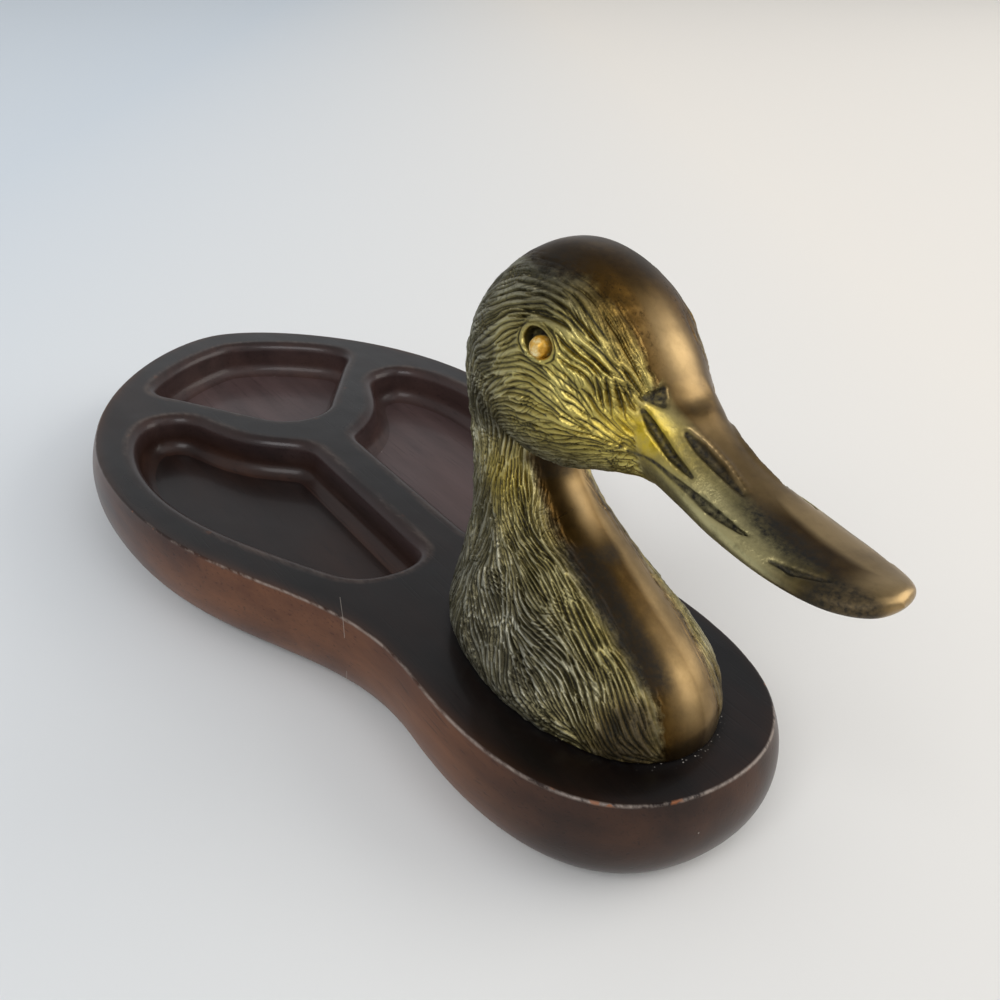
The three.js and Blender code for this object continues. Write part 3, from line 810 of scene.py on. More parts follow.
def spline_rows(sections, count=1600):
    """The sections' columns on uniform Catmull-Rom splines with one parameter."""
    rows = np.array(sections, float)
    ends = np.vstack([rows[:1], rows, rows[-1:]])
    t = np.linspace(0, len(rows) - 1, count)
    i = np.minimum(t.astype(int), len(rows) - 2)
    w = (t - i)[:, None]
    p0, p1, p2, p3 = (ends[i + k] for k in range(4))
    v1, v2 = (p2 - p0) / 2, (p3 - p1) / 2
    return (2 * p1 - 2 * p2 + v1 + v2) * w ** 3 + (-3 * p1 + 3 * p2 - 2 * v1 - v2) * w ** 2 + v1 * w + p1


def ray_distance(across, up, half_across, half_up):
    """How far a point lies from a superellipse along the ray from its middle; negative inside."""
    n = SECTION_ROUNDNESS
    share = (np.abs(across / half_across) ** n + np.abs(up / half_up) ** n) ** (1 / n)
    return np.hypot(across, up) * (1 - 1 / np.maximum(share, 1e-3))


def evened(field):
    """A field scaled to read as distance near its surface."""
    slopes = np.gradient(field, GRID)
    return field / np.maximum(np.sqrt(sum(s * s for s in slopes)), 0.4)


def soft_union(a, b, radius):
    """Two fields as one, with a soft seam."""
    near = np.maximum(radius - np.abs(a - b), 0) / radius
    return np.minimum(a, b) - near * near * radius / 4


def soft_cut(a, b, radius):
    """Field a with the inside of b taken away."""
    near = np.maximum(radius - np.abs(a + b), 0) / radius
    return np.maximum(a, -b) + near * near * radius / 4


def run_distance(place, points, radii):
    """Distance from a run of tapered pins through points."""
    best = None
    for a, b, ra, rb in zip(points, points[1:], radii, radii[1:]):
        a, b = np.array(a, float), np.array(b, float)
        span = b - a
        t = sum((p - q) * s for p, q, s in zip(place, a, span)) / span.dot(span)
        t = np.clip(t, 0, 1)
        gap = np.sqrt(sum((p - q - t * s) ** 2 for p, q, s in zip(place, a, span)))
        gap = gap - (ra + (rb - ra) * t)
        best = gap if best is None else np.minimum(best, gap)
    return best


HEAD_ROWS = spline_rows(HEAD_SECTIONS)
NECK_ROWS = spline_rows(NECK_SECTIONS)


def head_column(x, column, size):
    """A column of the head's sections at places along it."""
    return np.interp(x, HEAD_BACK + HEAD_ROWS[:, 0] * HEAD_LENGTH, HEAD_ROWS[:, column] * size)


def head_section(x):
    """The head's middle height, half height and half width at places along it."""
    top = head_column(x, 1, CASTING_HEIGHT)
    low = head_column(x, 2, CASTING_HEIGHT)
    return (top + low) / 2, (top - low) / 2, head_column(x, 3, HEAD_WIDTH / 2)


def reach_at(share, most):
    """How far a section reaches one way, at a share of how far it reaches the other way."""
    return (1 - min(share, most) ** SECTION_ROUNDNESS) ** (1 / SECTION_ROUNDNESS)


def head_side(x, z):
    """How far the head's surface lies from the middle plane."""
    middle, tall, broad = head_section(x)
    return float(reach_at(abs(z - middle) / tall, 0.95) * broad)


def head_top(x, y):
    """The height of the head's upper skin at a place in plan."""
    middle, tall, broad = head_section(x)
    return float(middle + tall * reach_at(abs(y) / broad, 0.97))


def neck_middle(z):
    """Where the neck's middle lies along the tray at a height."""
    return np.interp(z, NECK_ROWS[:, 0] * CASTING_HEIGHT,
                     (NECK_ROWS[:, 1] + NECK_ROWS[:, 2]) / 2 * BREAST_LENGTH / 2)


def eye_frame(side):
    """The eye's place on the head and the surface's outward direction there."""
    slope = lambda dx, dz: head_side(EYE_X + dx, EYE_Z + dz) - head_side(EYE_X - dx, EYE_Z - dz)
    outwards = Vector((-slope(0.5, 0), side, -slope(0, 0.5))).normalized()
    return Vector((EYE_X, side * head_side(EYE_X, EYE_Z), EYE_Z)), outwards


def eye_reach(x, side, z):
    """How far places lie from the eye's middle, so that the socket's edge is SOCKET_RADIUS all round,
    and how far off the skin."""
    place, outwards = eye_frame(1)
    ahead = (Vector((1, 0, 0)) - outwards * outwards.x).normalized()
    up = ahead.cross(outwards)
    tilt = math.radians(SOCKET_TILT)
    offset = [x - place.x, side - place.y, z - place.z]
    along, length, height = [
        sum(o * n for o, n in zip(offset, way))
        for way in (outwards, ahead * math.cos(tilt) - up * math.sin(tilt),
                    up * math.cos(tilt) + ahead * math.sin(tilt))]
    return np.hypot(length / SOCKET_STRETCH, height), along


# Cuts in the bill's sides, as places and radii: the slot beside the face, the nostril,
# the mouth, the short slot near the tip, the pit at the forehead's foot and the gape's crease
BILL_CUTS = [
    ([(16.8, 7.9, 68.3), (19, 7.4, 66.1), (24, 7.1, 62.8), (29, 7, 61.1)], [0.4, 0.9, 0.8, 0.35]),
    ([(23.7, 4.1, 65.9), (26.5, 3.5, 64.4), (31, 3, 62.4), (36.5, 3.1, 60.5)], [0.4, 1.05, 0.95, 0.3]),
    ([(16, 9.6, 61), (21, 8.8, 61.1), (28, 8.3, 59.7), (35, 8.2, 58.5), (42.5, 7.6, 57.2)],
     [0.35, 0.35, 0.5, 0.85, 0.3]),
    ([(48, 8.3, 56.2), (52, 7.5, 56.1), (57, 5.2, 56.5)], [0.25, 0.65, 0.3]),
    ([(15.8, 7.6, 70.1), (17.1, 4.2, 71.4), (18.7, 5.2, 69.4), (15.8, 7.6, 70.1), (17.2, 5.9, 70.4),
      (17.9, 4.8, 70.5)], [0.25, 0.5, 0.55, 0.25, 0.85, 0.8]),
    ([(13.8, 10.2, 60.8), (15.2, 10, 61.8), (16.8, 9.5, 63.4)], [0.2, 0.4, 0.25]),
]
# How softly each cut meets the skin
CUT_SOFTNESS = [0.35, 1.1, 0.35, 0.5, 0.35, 0.35]
# How much further out the left nostril, tip slot and pit lie; the other cuts match
FAR_CUTS_OUT = [0, 3.4, 0, 2.6, 3.4, 0]
# The raised rim over the nostril
NOSTRIL_RIM = ([(23.5, 3.2, 66.6), (26.5, 2.1, 64.9), (31, 1.7, 62.9), (36, 2.2, 60.7)],
               [0.4, 0.55, 0.55, 0.4])
# A shallow dip across the forehead's foot
FOREHEAD_DIP = ([(20, 4.2, 71.4), (20.9, 2.4, 71.4), (21.4, 0, 71.2)], [1.1, 1.6, 1.7])
# A shallow hollow along the bill's side, between the nostril and the mouth
BILL_HOLLOW = ([(24, 9.2, 66.4), (36, 9.2, 62.2), (50, 9, 59.6)], [2.7, 3.0, 2.2])
# All of these lie ahead of this place
CUTS_FROM = 12
# The eye's lid, a roll round the socket: how far out and how deep it lies, and its radius
LID_OUT = 0.22
LID_SUNK = 0.1
LID_RADIUS = 0.3
# How softly forms meet; the head meets the neck more softly at the nape, which fades between two places
THROAT_SOFTNESS = 1.2
NAPE_SOFTNESS = 5.5
NAPE_FADES = (-33, -19)
LID_SOFTNESS = 1.0
SOCKET_SOFTNESS = 0.5
HOLLOW_SOFTNESS = 1.5
DIP_SOFTNESS = 2.5
RIM_SOFTNESS = 0.9


def further_out(points, out):
    """Places moved away from the middle along the head's skin."""
    return [(x, y + out, z - head_top(x, y) + head_top(x, y + out)) for x, y, z in points]


def far_cuts():
    """The cuts of the bill's left side."""
    return [(further_out(points, out), radii) for (points, radii), out in zip(BILL_CUTS, FAR_CUTS_OUT)]


def casting_field():
    """The casting as a field on a grid: negative inside, with the socket and the bill's cuts."""
    counts = np.round((GRID_HIGH - GRID_LOW) / GRID).astype(int) + 1
    axes = [low + GRID * np.arange(n) for low, n in zip(GRID_LOW, counts)]
    half = counts[1] // 2
    x = axes[0][:, None, None]
    y = axes[1][None, half:, None]
    z = axes[2][None, None, :]

    half_length = BREAST_LENGTH / 2
    rise = NECK_ROWS[:, 0] * CASTING_HEIGHT
    front = np.interp(z, rise, NECK_ROWS[:, 1] * half_length)
    back = np.interp(z, rise, NECK_ROWS[:, 2] * half_length)
    width = np.interp(z, rise, NECK_ROWS[:, 3] * BREAST_WIDTH / 2)
    neck = ray_distance(x - (front + back) / 2, y, (front - back) / 2, width)
    neck = np.maximum(evened(neck), z - rise[-1])

    middle, tall, broad = head_section(x)
    head = evened(ray_distance(y, z - middle, np.maximum(broad, 0.05), np.maximum(tall, 0.05)))
    beyond = np.maximum(x - BILL_REACH, HEAD_BACK - x)
    head = np.where(beyond > 0, np.maximum(head, beyond), head)

    nape = 1 - smooth(*NAPE_FADES, x + 0 * z)
    field = soft_union(head, neck, THROAT_SOFTNESS + NAPE_SOFTNESS * nape)

    across, along = eye_reach(x, y, z)
    lid = np.hypot(across - SOCKET_RADIUS - LID_OUT, along + LID_SUNK) - LID_RADIUS
    field = soft_union(field, lid, LID_SOFTNESS)
    socket = np.maximum(across - SOCKET_RADIUS, -SOCKET_DEPTH - along)
    field = soft_cut(field, socket, SOCKET_SOFTNESS)

    ahead = axes[0] > CUTS_FROM
    bill = [x[ahead], y, z]
    sides = []
    for cuts, shift in ((BILL_CUTS, 0), (far_cuts(), FAR_CUTS_OUT[1])):
        part = soft_cut(field[ahead], run_distance(bill, *BILL_HOLLOW), HOLLOW_SOFTNESS)
        part = soft_cut(part, run_distance(bill, *FOREHEAD_DIP), DIP_SOFTNESS)
        rim, radii = NOSTRIL_RIM
        part = soft_union(part, run_distance(bill, further_out(rim, shift), radii), RIM_SOFTNESS)
        for (points, radii), softness in zip(cuts, CUT_SOFTNESS):
            part = soft_cut(part, run_distance(bill, points, radii), softness)
        whole = field.copy()
        whole[ahead] = part
        sides.append(np.maximum(whole, -z))
    right, left = sides
    return np.concatenate([right[:, :0:-1], left], axis=1)


def casting_mesh():
    """The casting's skin as points and quads, in millimetres."""
    grid = openvdb.FloatGrid(4 * GRID)
    grid.copyFromArray(np.clip(casting_field(), -4 * GRID, 4 * GRID).astype(np.float32))
    points, quads = grid.convertToQuads(isovalue=0.0)
    points = GRID_LOW + points * GRID
    a, b, c, d = (points[quads[:, k]] for k in range(4))
    volume = np.einsum("ij,ij->i", a, np.cross(b, c)).sum() + np.einsum("ij,ij->i", a, np.cross(c, d)).sum()
    return points, quads if volume > 0 else quads[:, ::-1]


def stripe_half(x):
    """Half the width of the buffed stripe over the crown, the forehead and the bill's top."""
    return np.interp(x, [-34, -22, -11, -1, 8, 16, 20, 24, 30, 38, 46, 66],
                     [1, 6.4, 7.6, 5, 3.6, 4.6, 4.4, 3.4, 2.8, 3.4, 5, 6])


def chest_half(z, y):
    """Half the width of the buffed stripe down the throat and the chest; narrower on the right."""
    left = np.interp(z, [0, 8, 14, 20, 30, 40, 48, 56], [7.2, 7.5, 8.6, 8.8, 7.4, 4.6, 4.2, 6])
    right = np.interp(z, [0, 8, 14, 20, 30, 40, 48, 56], [5, 4.4, 4.4, 4.6, 5, 4, 4.2, 6])
    return np.where(y > 0, left, right)


def bill_start(z):
    """Where the feathers end and the bare bill begins."""
    return np.interp(z, [54, 60, 64, 68, 72, 76], [18.5, 18, 17, 16.4, 16.6, 15])


def coarse_noise(points, rows):
    """Soft noise at points, as a sum of rows: a height, a size in millimetres and a shift."""
    total = 0
    for height, size, shift in rows:
        scale = 1 / size
        total = total + height * np.array([
            noise.noise(Vector((x * scale, y * scale, z * scale + shift))) for x, y, z in points])
    return total


# How the feathers' border wanders and how lumpy the feathers are, as rows of noise
BORDER_WANDER = ((0.9, 5, 0), (0.7, 1.6, 4))
FEATHER_LUMPS = ((0.3, 8, 11), (0.2, 3.5, 17))
# How much further the buffing reaches round the head's left side
FAR_BUFFING = 4


def buffed_half(x, y, z):
    """Half the width of the buffed stripe at a place; it runs out above the nape."""
    nape = smooth(92, 64, z) * smooth(-4, -18, x)
    return stripe_half(x) + FAR_BUFFING * smooth(-3, 3, y) * (1 - nape) - 13 * nape


def feather_share(points, normals, wander):
    """1 where feathers are carved, 0 on the buffed stripe, the bill, the socket and the sole."""
    x, y, z = points.T
    side = np.abs(y) + wander
    faint = np.interp(x, [-28, -10, 4, 12], [6, 8, 6.5, 4])
    crown = smooth(-1.2, faint, side - buffed_half(x, y, z + 2 * wander))
    crown = np.where(normals[:, 2] > -0.25, crown, 1.0)
    head = crown * smooth(-0.6, 0.6, bill_start(z) - x + 0.5 * wander)
    ahead = (x > neck_middle(z)) & (normals[:, 0] > 0.02)
    chest = np.where(ahead, smooth(-1.2, 5, side - chest_half(z, y)), 1.0)
    jaw = np.interp(x, [-20, -14, -8, 0], [46, 48, 46, 40])
    share = np.where(z > jaw, head, chest)
    across, _ = eye_reach(x, np.abs(y), z)
    return share * smooth(0.1, 0.5, z) * smooth(SOCKET_RADIUS + 0.2, SOCKET_RADIUS + 0.55, across)


# The height over the tray's top where the head begins
HEAD_FROM = 50
# How the feathers lie, seen from the side: place along and up, and the angle of the strokes
COMB = [
    (12, 76, 135), (11, 70, 135), (6, 77, 160), (0, 82, 170), (-4, 85, 180), (-8, 79, 200),
    (-14, 73, 205), (-14, 68, 212), (3, 67, 170), (10, 64, 160), (9, 60, 197), (-1, 61, 190),
    (-9, 60, 195), (-19, 75, 220), (-22, 57, 232), (-29, 66, 250), (-32, 54, 268), (-26, 42, 270),
    (-18, 42, 272), (-35, 26, 272), (-24, 19, 284), (-11, 24, 310), (-1, 24, 338), (9, 17, 345),
    (-3, 8, 322), (13, 7, 330), (21, 12, 325), (-38, 8, 272), (-22, 8, 296),
]
# Rings in the strokes: the middle, the reach of full rings and of their fading, how much longer
# than wide they are, and the angle of their long side
RINGS = [((EYE_X, EYE_Z), 2.6, 4.4, 1.45, -12), ((7.5, 70.8), -1.2, 2.4, 2.4, 150)]
# Bold slashes before the bill's root, from their tops to their ends, seen from the side
SLASHES = [((9.2, 72.3), (11.6, 67.2)), ((10.5, 72.5), (12.9, 66.8)), ((11.9, 72.3), (15.1, 66.5)),
           ((13.5, 72), (14.8, 70.2))]


def lie(x, y, z):
    """The strokes' angle at a place, from the comb and the rings round the eye and below it."""
    c = s = 0.0
    for gx, gz, angle in COMB:
        weight = 1 / ((x - gx) ** 2 + (z - gz) ** 2 + 6) ** 1.6
        c += weight * math.cos(math.radians(2 * angle))
        s += weight * math.sin(math.radians(2 * angle))
    angle = math.atan2(s, c)
    # Waves in the strokes, and clumps that they gather in below the head
    waves = noise.noise(Vector((x * 0.17, y * 0.1 + 3, z * 0.17)))
    fine = noise.noise(Vector((x * 0.42, y * 0.2 + 9, z * 0.42)))
    face = min(max((z - 36) / 14, 0), 1)
    clumps = math.tanh(6 * noise.noise(Vector((x * 0.1, y * 0.06 + 21, z * 0.07))))
    angle += (0.35 + 0.55 * face) * waves + (0.2 + 0.3 * face) * fine + 0.75 * (1 - face) * clumps
    c, s = math.cos(angle), math.sin(angle)
    for (mx, mz), inner, outer, longer, tilt in RINGS:
        ux, uz = math.cos(math.radians(tilt)), math.sin(math.radians(tilt))
        along = ux * (x - mx) + uz * (z - mz)
        across = ux * (z - mz) - uz * (x - mx)
        far = math.hypot(along / longer, across)
        if far >= outer:
            continue
        turn_along, turn_across = -across, along / longer ** 2
        ring = 2 * math.atan2(uz * turn_along + ux * turn_across, ux * turn_along - uz * turn_across)
        share = min((outer - far) / (outer - inner), 1)
        share = share * share * (3 - 2 * share)
        c += (math.cos(ring) - c) * share
        s += (math.sin(ring) - s) * share
    return math.atan2(s, c) / 2


def stroke_style(p):
    """Spacing and depth of the deep strokes at a place, in millimetres."""
    ease = lambda low, high, value: min(max((value - low) / (high - low), 0), 1)
    if p.z > HEAD_FROM:
        face = ease(-20, -6, p.x) * ease(56, 64, p.z)
        gap = 0.92 + 0.5 * face
        depth = 0.55 + 0.25 * face
    else:
        gap = 0.98 + 0.2 * ease(34, 14, p.z)
        depth = 0.68
    return gap * (1 + 0.5 * noise.noise(p * 0.33)), depth


# How strokes are traced, in millimetres: the step, the fine ones' spacing, their depth and how far
# they turn from the deep ones in radians, the shortest one, and the length over which an end tapers
STEP = 0.35
FINE_GAP = 0.95
FINE_DEPTH = 0.42
FINE_SKEW = 1.6
SHORTEST = 1.4
TAPER = 2.6
# The side of the cells that hold the strokes' points while room for others is looked for
CELL = 1.0
# Half lengths of fine strokes, of deep ones on the head and of deep ones below it
FINE_HALVES = (2, 8)
HEAD_HALVES = (4, 13)
NECK_HALVES = (4, 9)
# Shares of the spacing: the room that a new stroke needs on the head and below it, how near strokes
# may come to each other, and how far a cut reaches on the head and below it
HEAD_ROOM = 0.86
NECK_ROOM = 0.75
NEAREST = 0.42
HEAD_CUT_REACH = 0.72
NECK_CUT_REACH = 0.66
# How much strokes differ in depth and width, and both for the bold slashes
DEPTHS = (0.35, 1.5)
WIDTHS = (0.75, 1.2)
BOLD_DEPTH = 1.5
BOLD_WIDTH = 1.3
# The least share of feathers where a stroke may start and where it may run
START_SHARE = 0.16
RUN_SHARE = 0.1


class Strokes:
    """Evenly spaced strokes on the right side of the casting, traced on its skin."""

    def __init__(self, tree, places, normals, share):
        self.tree = tree
        self.places = places
        self.normals = normals
        self.share = share
        self.chance = random.Random(SEED)
        self.cells = {}
        self.skew = 0.0

    def crowded(self, p, reach):
        """Whether a stroke that is kept has a point within reach."""
        ring = int(reach // CELL) + 1
        ix, iy, iz = int(p.x // CELL), int(p.y // CELL), int(p.z // CELL)
        for a in range(ix - ring, ix + ring + 1):
            for b in range(iy - ring, iy + ring + 1):
                for c in range(iz - ring, iz + ring + 1):
                    for q in self.cells.get((a, b, c), ()):
                        if (q - p).length_squared < reach * reach:
                            return True
        return False

    def heading(self, p, normal, last):
        """The way that a stroke goes on along the skin, or nothing where it has none."""
        angle = lie(p.x, p.y, p.z) + self.skew * noise.noise(p * 0.13)
        way = Vector((math.cos(angle), 0, math.sin(angle)))
        way = way - normal * way.dot(normal)
        if way.length < 0.05:
            return None
        way.normalize()
        return -way if last is not None and way.dot(last) < 0 else way

    def run(self, start, normal, direction, most, room):
        """Half a stroke from its start, until it is long enough, crowded or off the feathers."""
        p, last, line = start.copy(), None, []
        while len(line) * STEP < most:
            way = self.heading(p, normal, last)
            if way is None:
                break
            if last is None:
                way = way * direction
            spot, normal, face, _ = self.tree.find_nearest(p + way * STEP)
            if spot is None or spot.y > 0.2 or self.share[face] < RUN_SHARE or self.crowded(spot, room):
                break
            if any((spot - q).length < room for q in line[:-6]):
                break
            last = way
            p = spot
            line.append(spot.copy())
        return line

    def trace(self, fine):
        """Strokes from seeds in a mixed order, wherever there is room for one. The fine strokes
        lie across the deep ones."""
        self.cells = {}
        self.skew = FINE_SKEW if fine else 0.0
        lines = [] if fine else self.slashes()
        for line in lines:
            self.keep(line)
        seeds = np.nonzero((self.share > START_SHARE) & (self.places[:, 1] < 0.3))[0].tolist()
        self.chance.shuffle(seeds)
        for index in seeds:
            start = Vector(self.places[index])
            gap = FINE_GAP if fine else stroke_style(start)[0]
            high = start.z > HEAD_FROM
            if self.crowded(start, gap * (HEAD_ROOM if high else NECK_ROOM)):
                continue
            most = self.chance.uniform(*(FINE_HALVES if fine else HEAD_HALVES if high else NECK_HALVES))
            normal = Vector(self.normals[index])
            ahead, behind = [self.run(start, normal, way, most, gap * NEAREST) for way in (1, -1)]
            line = behind[::-1] + [start] + ahead
            if len(line) * STEP < SHORTEST:
                continue
            lines.append(line)
            self.keep(line)
        return stroke_lines(lines, fine)

    def keep(self, line):
        """Holds a stroke's points, so that the next ones leave room for it."""
        for p in line:
            key = (int(p.x // CELL), int(p.y // CELL), int(p.z // CELL))
            self.cells.setdefault(key, []).append(p)

    def slashes(self):
        """The bold slashes, laid on the skin."""
        lines = []
        for (x0, z0), (x1, z1) in SLASHES:
            count = int(math.hypot(x1 - x0, z1 - z0) / STEP)
            places = [(x0 + (x1 - x0) * i / count, z0 + (z1 - z0) * i / count) for i in range(count + 1)]
            lines.append([self.tree.find_nearest(Vector((x, -head_side(x, z), z)))[0] for x, z in places])
        return lines


def stroke_lines(lines, fine):
    """The strokes and their mirror images as a mesh of edges with a depth and a reach."""
    verts, edges, depths, reaches = [], [], [], []
    chance = random.Random(SEED)
    for number, line in enumerate(lines):
        bold = not fine and number < len(SLASHES)
        deeper = BOLD_DEPTH if bold else chance.uniform(*DEPTHS)
        wider = BOLD_WIDTH if bold else chance.uniform(*WIDTHS)
        for side in (1, -1):
            first = len(verts)
            count = len(line)
            for i, p in enumerate(line):
                gap, depth = (FINE_GAP / 2, FINE_DEPTH) if fine else stroke_style(p)
                taper = min(min(i, count - 1 - i) * STEP / TAPER + 0.2, 1.0)
                verts.append((p.x, p.y * side, p.z))
                depths.append(depth * deeper * taper)
                reach = HEAD_CUT_REACH if p.z > HEAD_FROM else NECK_CUT_REACH
                reaches.append(gap * reach * wider * (0.5 + 0.5 * taper))
            edges += [(i, i + 1) for i in range(first, first + count - 1)]
    mesh = bpy.data.meshes.new("stroke_lines")
    mesh.from_pydata(verts, edges, [])
    write_float(mesh, "depth", depths)
    write_float(mesh, "reach", reaches)
    return new_object("stroke_lines", mesh)


# How far the ridges between the strokes rise, and how steeply a cut falls to its middle
FEATHER_LIFT = 0.3
CUT_SHARPNESS = 1.7


def carving_tree(material):
    """Carves rounded ridges along deep and fine stroke lines, and keeps each cut as a share."""
    tree = bpy.data.node_groups.new("feather_carving", "GeometryNodeTree")
    tree.interface.new_socket("Geometry", in_out="OUTPUT", socket_type="NodeSocketGeometry")
    tree.interface.new_socket("Geometry", in_out="INPUT", socket_type="NodeSocketGeometry")
    for name in ("Deep lines", "Fine lines"):
        tree.interface.new_socket(name, in_out="INPUT", socket_type="NodeSocketObject")
    for name in ("Feather lift", "Cut sharpness"):
        tree.interface.new_socket(name, in_out="INPUT", socket_type="NodeSocketFloat")
    entry = {socket.name: socket for socket in tree.nodes.new("NodeGroupInput").outputs}
    feathers = add(tree, "GeometryNodeInputNamedAttribute", {"Name": "feathers"}, data_type="FLOAT")
    normal = add(tree, "GeometryNodeInputNormal")
    shape = entry["Geometry"]
    rise = add(tree, "Math", {0: feathers, 1: entry["Feather lift"]}, operation="MULTIPLY")
    for socket, kept in (("Deep lines", "groove"), ("Fine lines", "scratch")):
        lines = add(tree, "GeometryNodeObjectInfo", {"Object": entry[socket]}, "Geometry")
        near = add(tree, "GeometryNodeProximity", {0: lines}, "Distance", target_element="EDGES")
        index = add(tree, "GeometryNodeSampleNearest", {"Geometry": lines}, domain="POINT")
        reach, depth = [
            add(tree, "GeometryNodeSampleIndex", {
                "Geometry": lines, "Index": index,
                "Value": add(tree, "GeometryNodeInputNamedAttribute", {"Name": name}, data_type="FLOAT")},
                data_type="FLOAT")
            for name in ("reach", "depth")]
        far = add(tree, "Math", {0: near, 1: reach}, operation="DIVIDE")
        close = add(tree, "Math", {0: 1.0, 1: far}, operation="SUBTRACT", use_clamp=True)
        cut = add(tree, "Math", {0: close, 1: entry["Cut sharpness"]}, operation="POWER")
        cut = add(tree, "Math", {0: cut, 1: feathers}, operation="MULTIPLY")
        drop = add(tree, "Math", {0: cut, 1: depth}, operation="MULTIPLY")
        rise = add(tree, "Math", {0: rise, 1: drop}, operation="SUBTRACT")
        share = add(tree, "Math", {0: close, 1: feathers}, operation="MULTIPLY")
        shape = add(tree, "GeometryNodeStoreNamedAttribute", {
            "Geometry": shape, "Name": kept, "Value": share}, data_type="FLOAT")
    offset = add(tree, "VectorMath", {0: normal, "Scale": rise}, operation="SCALE")
    shape = add(tree, "GeometryNodeSetPosition", {"Geometry": shape, "Offset": offset})
    shape = add(tree, "GeometryNodeRealizeInstances", {"Geometry": shape})
    shape = add(tree, "GeometryNodeSetMaterial", {"Geometry": shape, "Material": material})
    add(tree, "NodeGroupOutput", {"Geometry": shape})
    return tree


def set_inputs(modifier, values):
    """Sets a modifier's inputs by their sockets' identifiers."""
    for item in modifier.node_group.interface.items_tree:
        if item.item_type == "SOCKET" and item.in_out == "INPUT" and item.name in values:
            modifier[item.identifier] = values[item.name]


def read_floats(mesh, source, name, width=1):
    """Numbers of a mesh's points as an array."""
    values = np.empty(len(mesh.vertices) * width, np.float32)
    source.foreach_get(name, values)
    return values.reshape(-1, width) if width > 1 else values


def read_mark(mesh, name):
    """A mark of a mesh's points as an array."""
    return read_floats(mesh, mesh.attributes[name].data, "value")


def make_casting(material):
    """The duck's head: its skin from the field, the strokes traced on it, carved and split."""
    points, quads = casting_mesh()
    mesh = bpy.data.meshes.new("casting_skin")
    mesh.from_pydata(points.tolist(), [], quads.tolist())
    normals = read_floats(mesh, mesh.vertices, "normal", 3)
    share = feather_share(points, normals, coarse_noise(points, BORDER_WANDER))
    write_float(mesh, "feathers", share)
    lumps = share * coarse_noise(points, FEATHER_LUMPS)
    points = points + normals * lumps[:, None]
    mesh.vertices.foreach_set("co", points.astype(np.float32).ravel())
    tree = BVHTree.FromPolygons(points.tolist(), quads.tolist())
    face_normals = normals[quads].mean(axis=1)
    face_normals /= np.maximum(np.linalg.norm(face_normals, axis=1), 1e-6)[:, None]
    strokes = Strokes(tree, points[quads].mean(axis=1), face_normals, share[quads].mean(axis=1))
    deep = strokes.trace(fine=False)
    fine = strokes.trace(fine=True)
    skin = new_object("casting_skin", mesh)
    even = skin.modifiers.new("even", "SMOOTH")
    even.factor = 0.5
    even.iterations = 2
    finer = skin.modifiers.new("finer", "SUBSURF")
    finer.levels = finer.render_levels = 1
    carving = skin.modifiers.new("carving", "NODES")
    carving.node_group = carving_tree(material)
    set_inputs(carving, {"Deep lines": deep, "Fine lines": fine, "Feather lift": FEATHER_LIFT,
                         "Cut sharpness": CUT_SHARPNESS})
    baked = bpy.data.meshes.new_from_object(skin.evaluated_get(bpy.context.evaluated_depsgraph_get()))
    for helper in (skin, deep, fine):
        bpy.data.objects.remove(helper)
    colour_casting(baked)
    for piece in split_casting(baked):
        finish_mesh(piece.name, piece, material, "patinated_brass", "duck_head")


# Marks on the casting in its own millimetres, each a product of a strength and steps. A step is an axis
# with the values where it is 0 and 1, an axis "about" a value with a reach, an axis "over" a value, or
# the name of another mark, or "not" one.
PLACES = {
    "culmen": (1, ("beyond", 2.4, -2.4), ("height", -6.6, -5.4)),
    "tip": (1, ("x", 44, 56)),
    "scuffed": (1, ("x", "about", 6, 9), ("z", "over", 68), "not bill", ("beyond", 9, 3),
                ("beyond", -4, -0.5)),
    # A painted dark reflection on the bill's right side
    "patch": (1.25, ("x", "about", 47, 13), ("side", "about", 4.3, 3.5), "bill", ("height", "over", -7)),
    "crown": (1, ("x", "about", -8, 11), ("side", "about", 9.6, 6.4), ("z", 73, 81)),
    "chest_border": (1, ("beside_stripe", 5, 1), ("z", 42, 32), "ahead", "feathers"),
    "gold_border": (1, "chest_border", ("z", 14, 22)),
    "beside_chest": (1, ("beside_stripe", 13, 5), ("z", 44, 36), ("z", 10, 20), "ahead", "feathers"),
    "lores": (1, ("x", "about", 16.5, 5), ("z", "about", 65.5, 4.2), ("side", 4.5, 7)),
    "cheek": (1, ("x", "about", 8, 9), ("z", "about", 62, 6), ("side", 4.5, 7)),
    "bill_root": (1, ("x", "about", 23, 9), ("z", "about", 64, 4.5), "bill", "not culmen"),
    "neck_top": (1, ("x", "about", -20, 7), ("z", "about", 40, 7), "feathers"),
    "face": (1, ("z", 46, 58), ("x", -26, 2)),
    "breast": (1, ("z", 30, 10), ("x", -14, 14)),
    # A painted highlight on the bill's side
    "pale": (0.65, ("x", 26, 36), ("x", 54, 44), ("side", 5, 7), "bill"),
}
# Painted highlights, in part also paler brass where handling has polished it
RUBBED_AND_HIGHLIGHTS = {
    "forehead": (1, ("x", "about", 14, 6.5), ("y", "about", 1.6, 4.4), ("z", "over", 66)),
    "throat": (0.65, ("z", "about", 37, 6.5), ("y", "about", 0.8, 3), "chest"),
    "breast_front": (0.7, ("z", "about", 12, 8), ("y", "about", 1.8, 4), "chest"),
    "far_chest": (0.6, ("y", 2, 5), "chest"),
    "bill_end": (1, ("x", 56, 62)),
    "nostril_rim": (0.7, ("from_rim", 0.25, -0.1), "bill"),
    "far_ridge": (0.9, ("y", -0.3, 1.8), ("y", 9, 7), ("x", 34, 44), "bill", ("height", "over", -5)),
    "bill_top": (0.4, "culmen", ("x", 20, 25), ("x", 46, 38)),
}
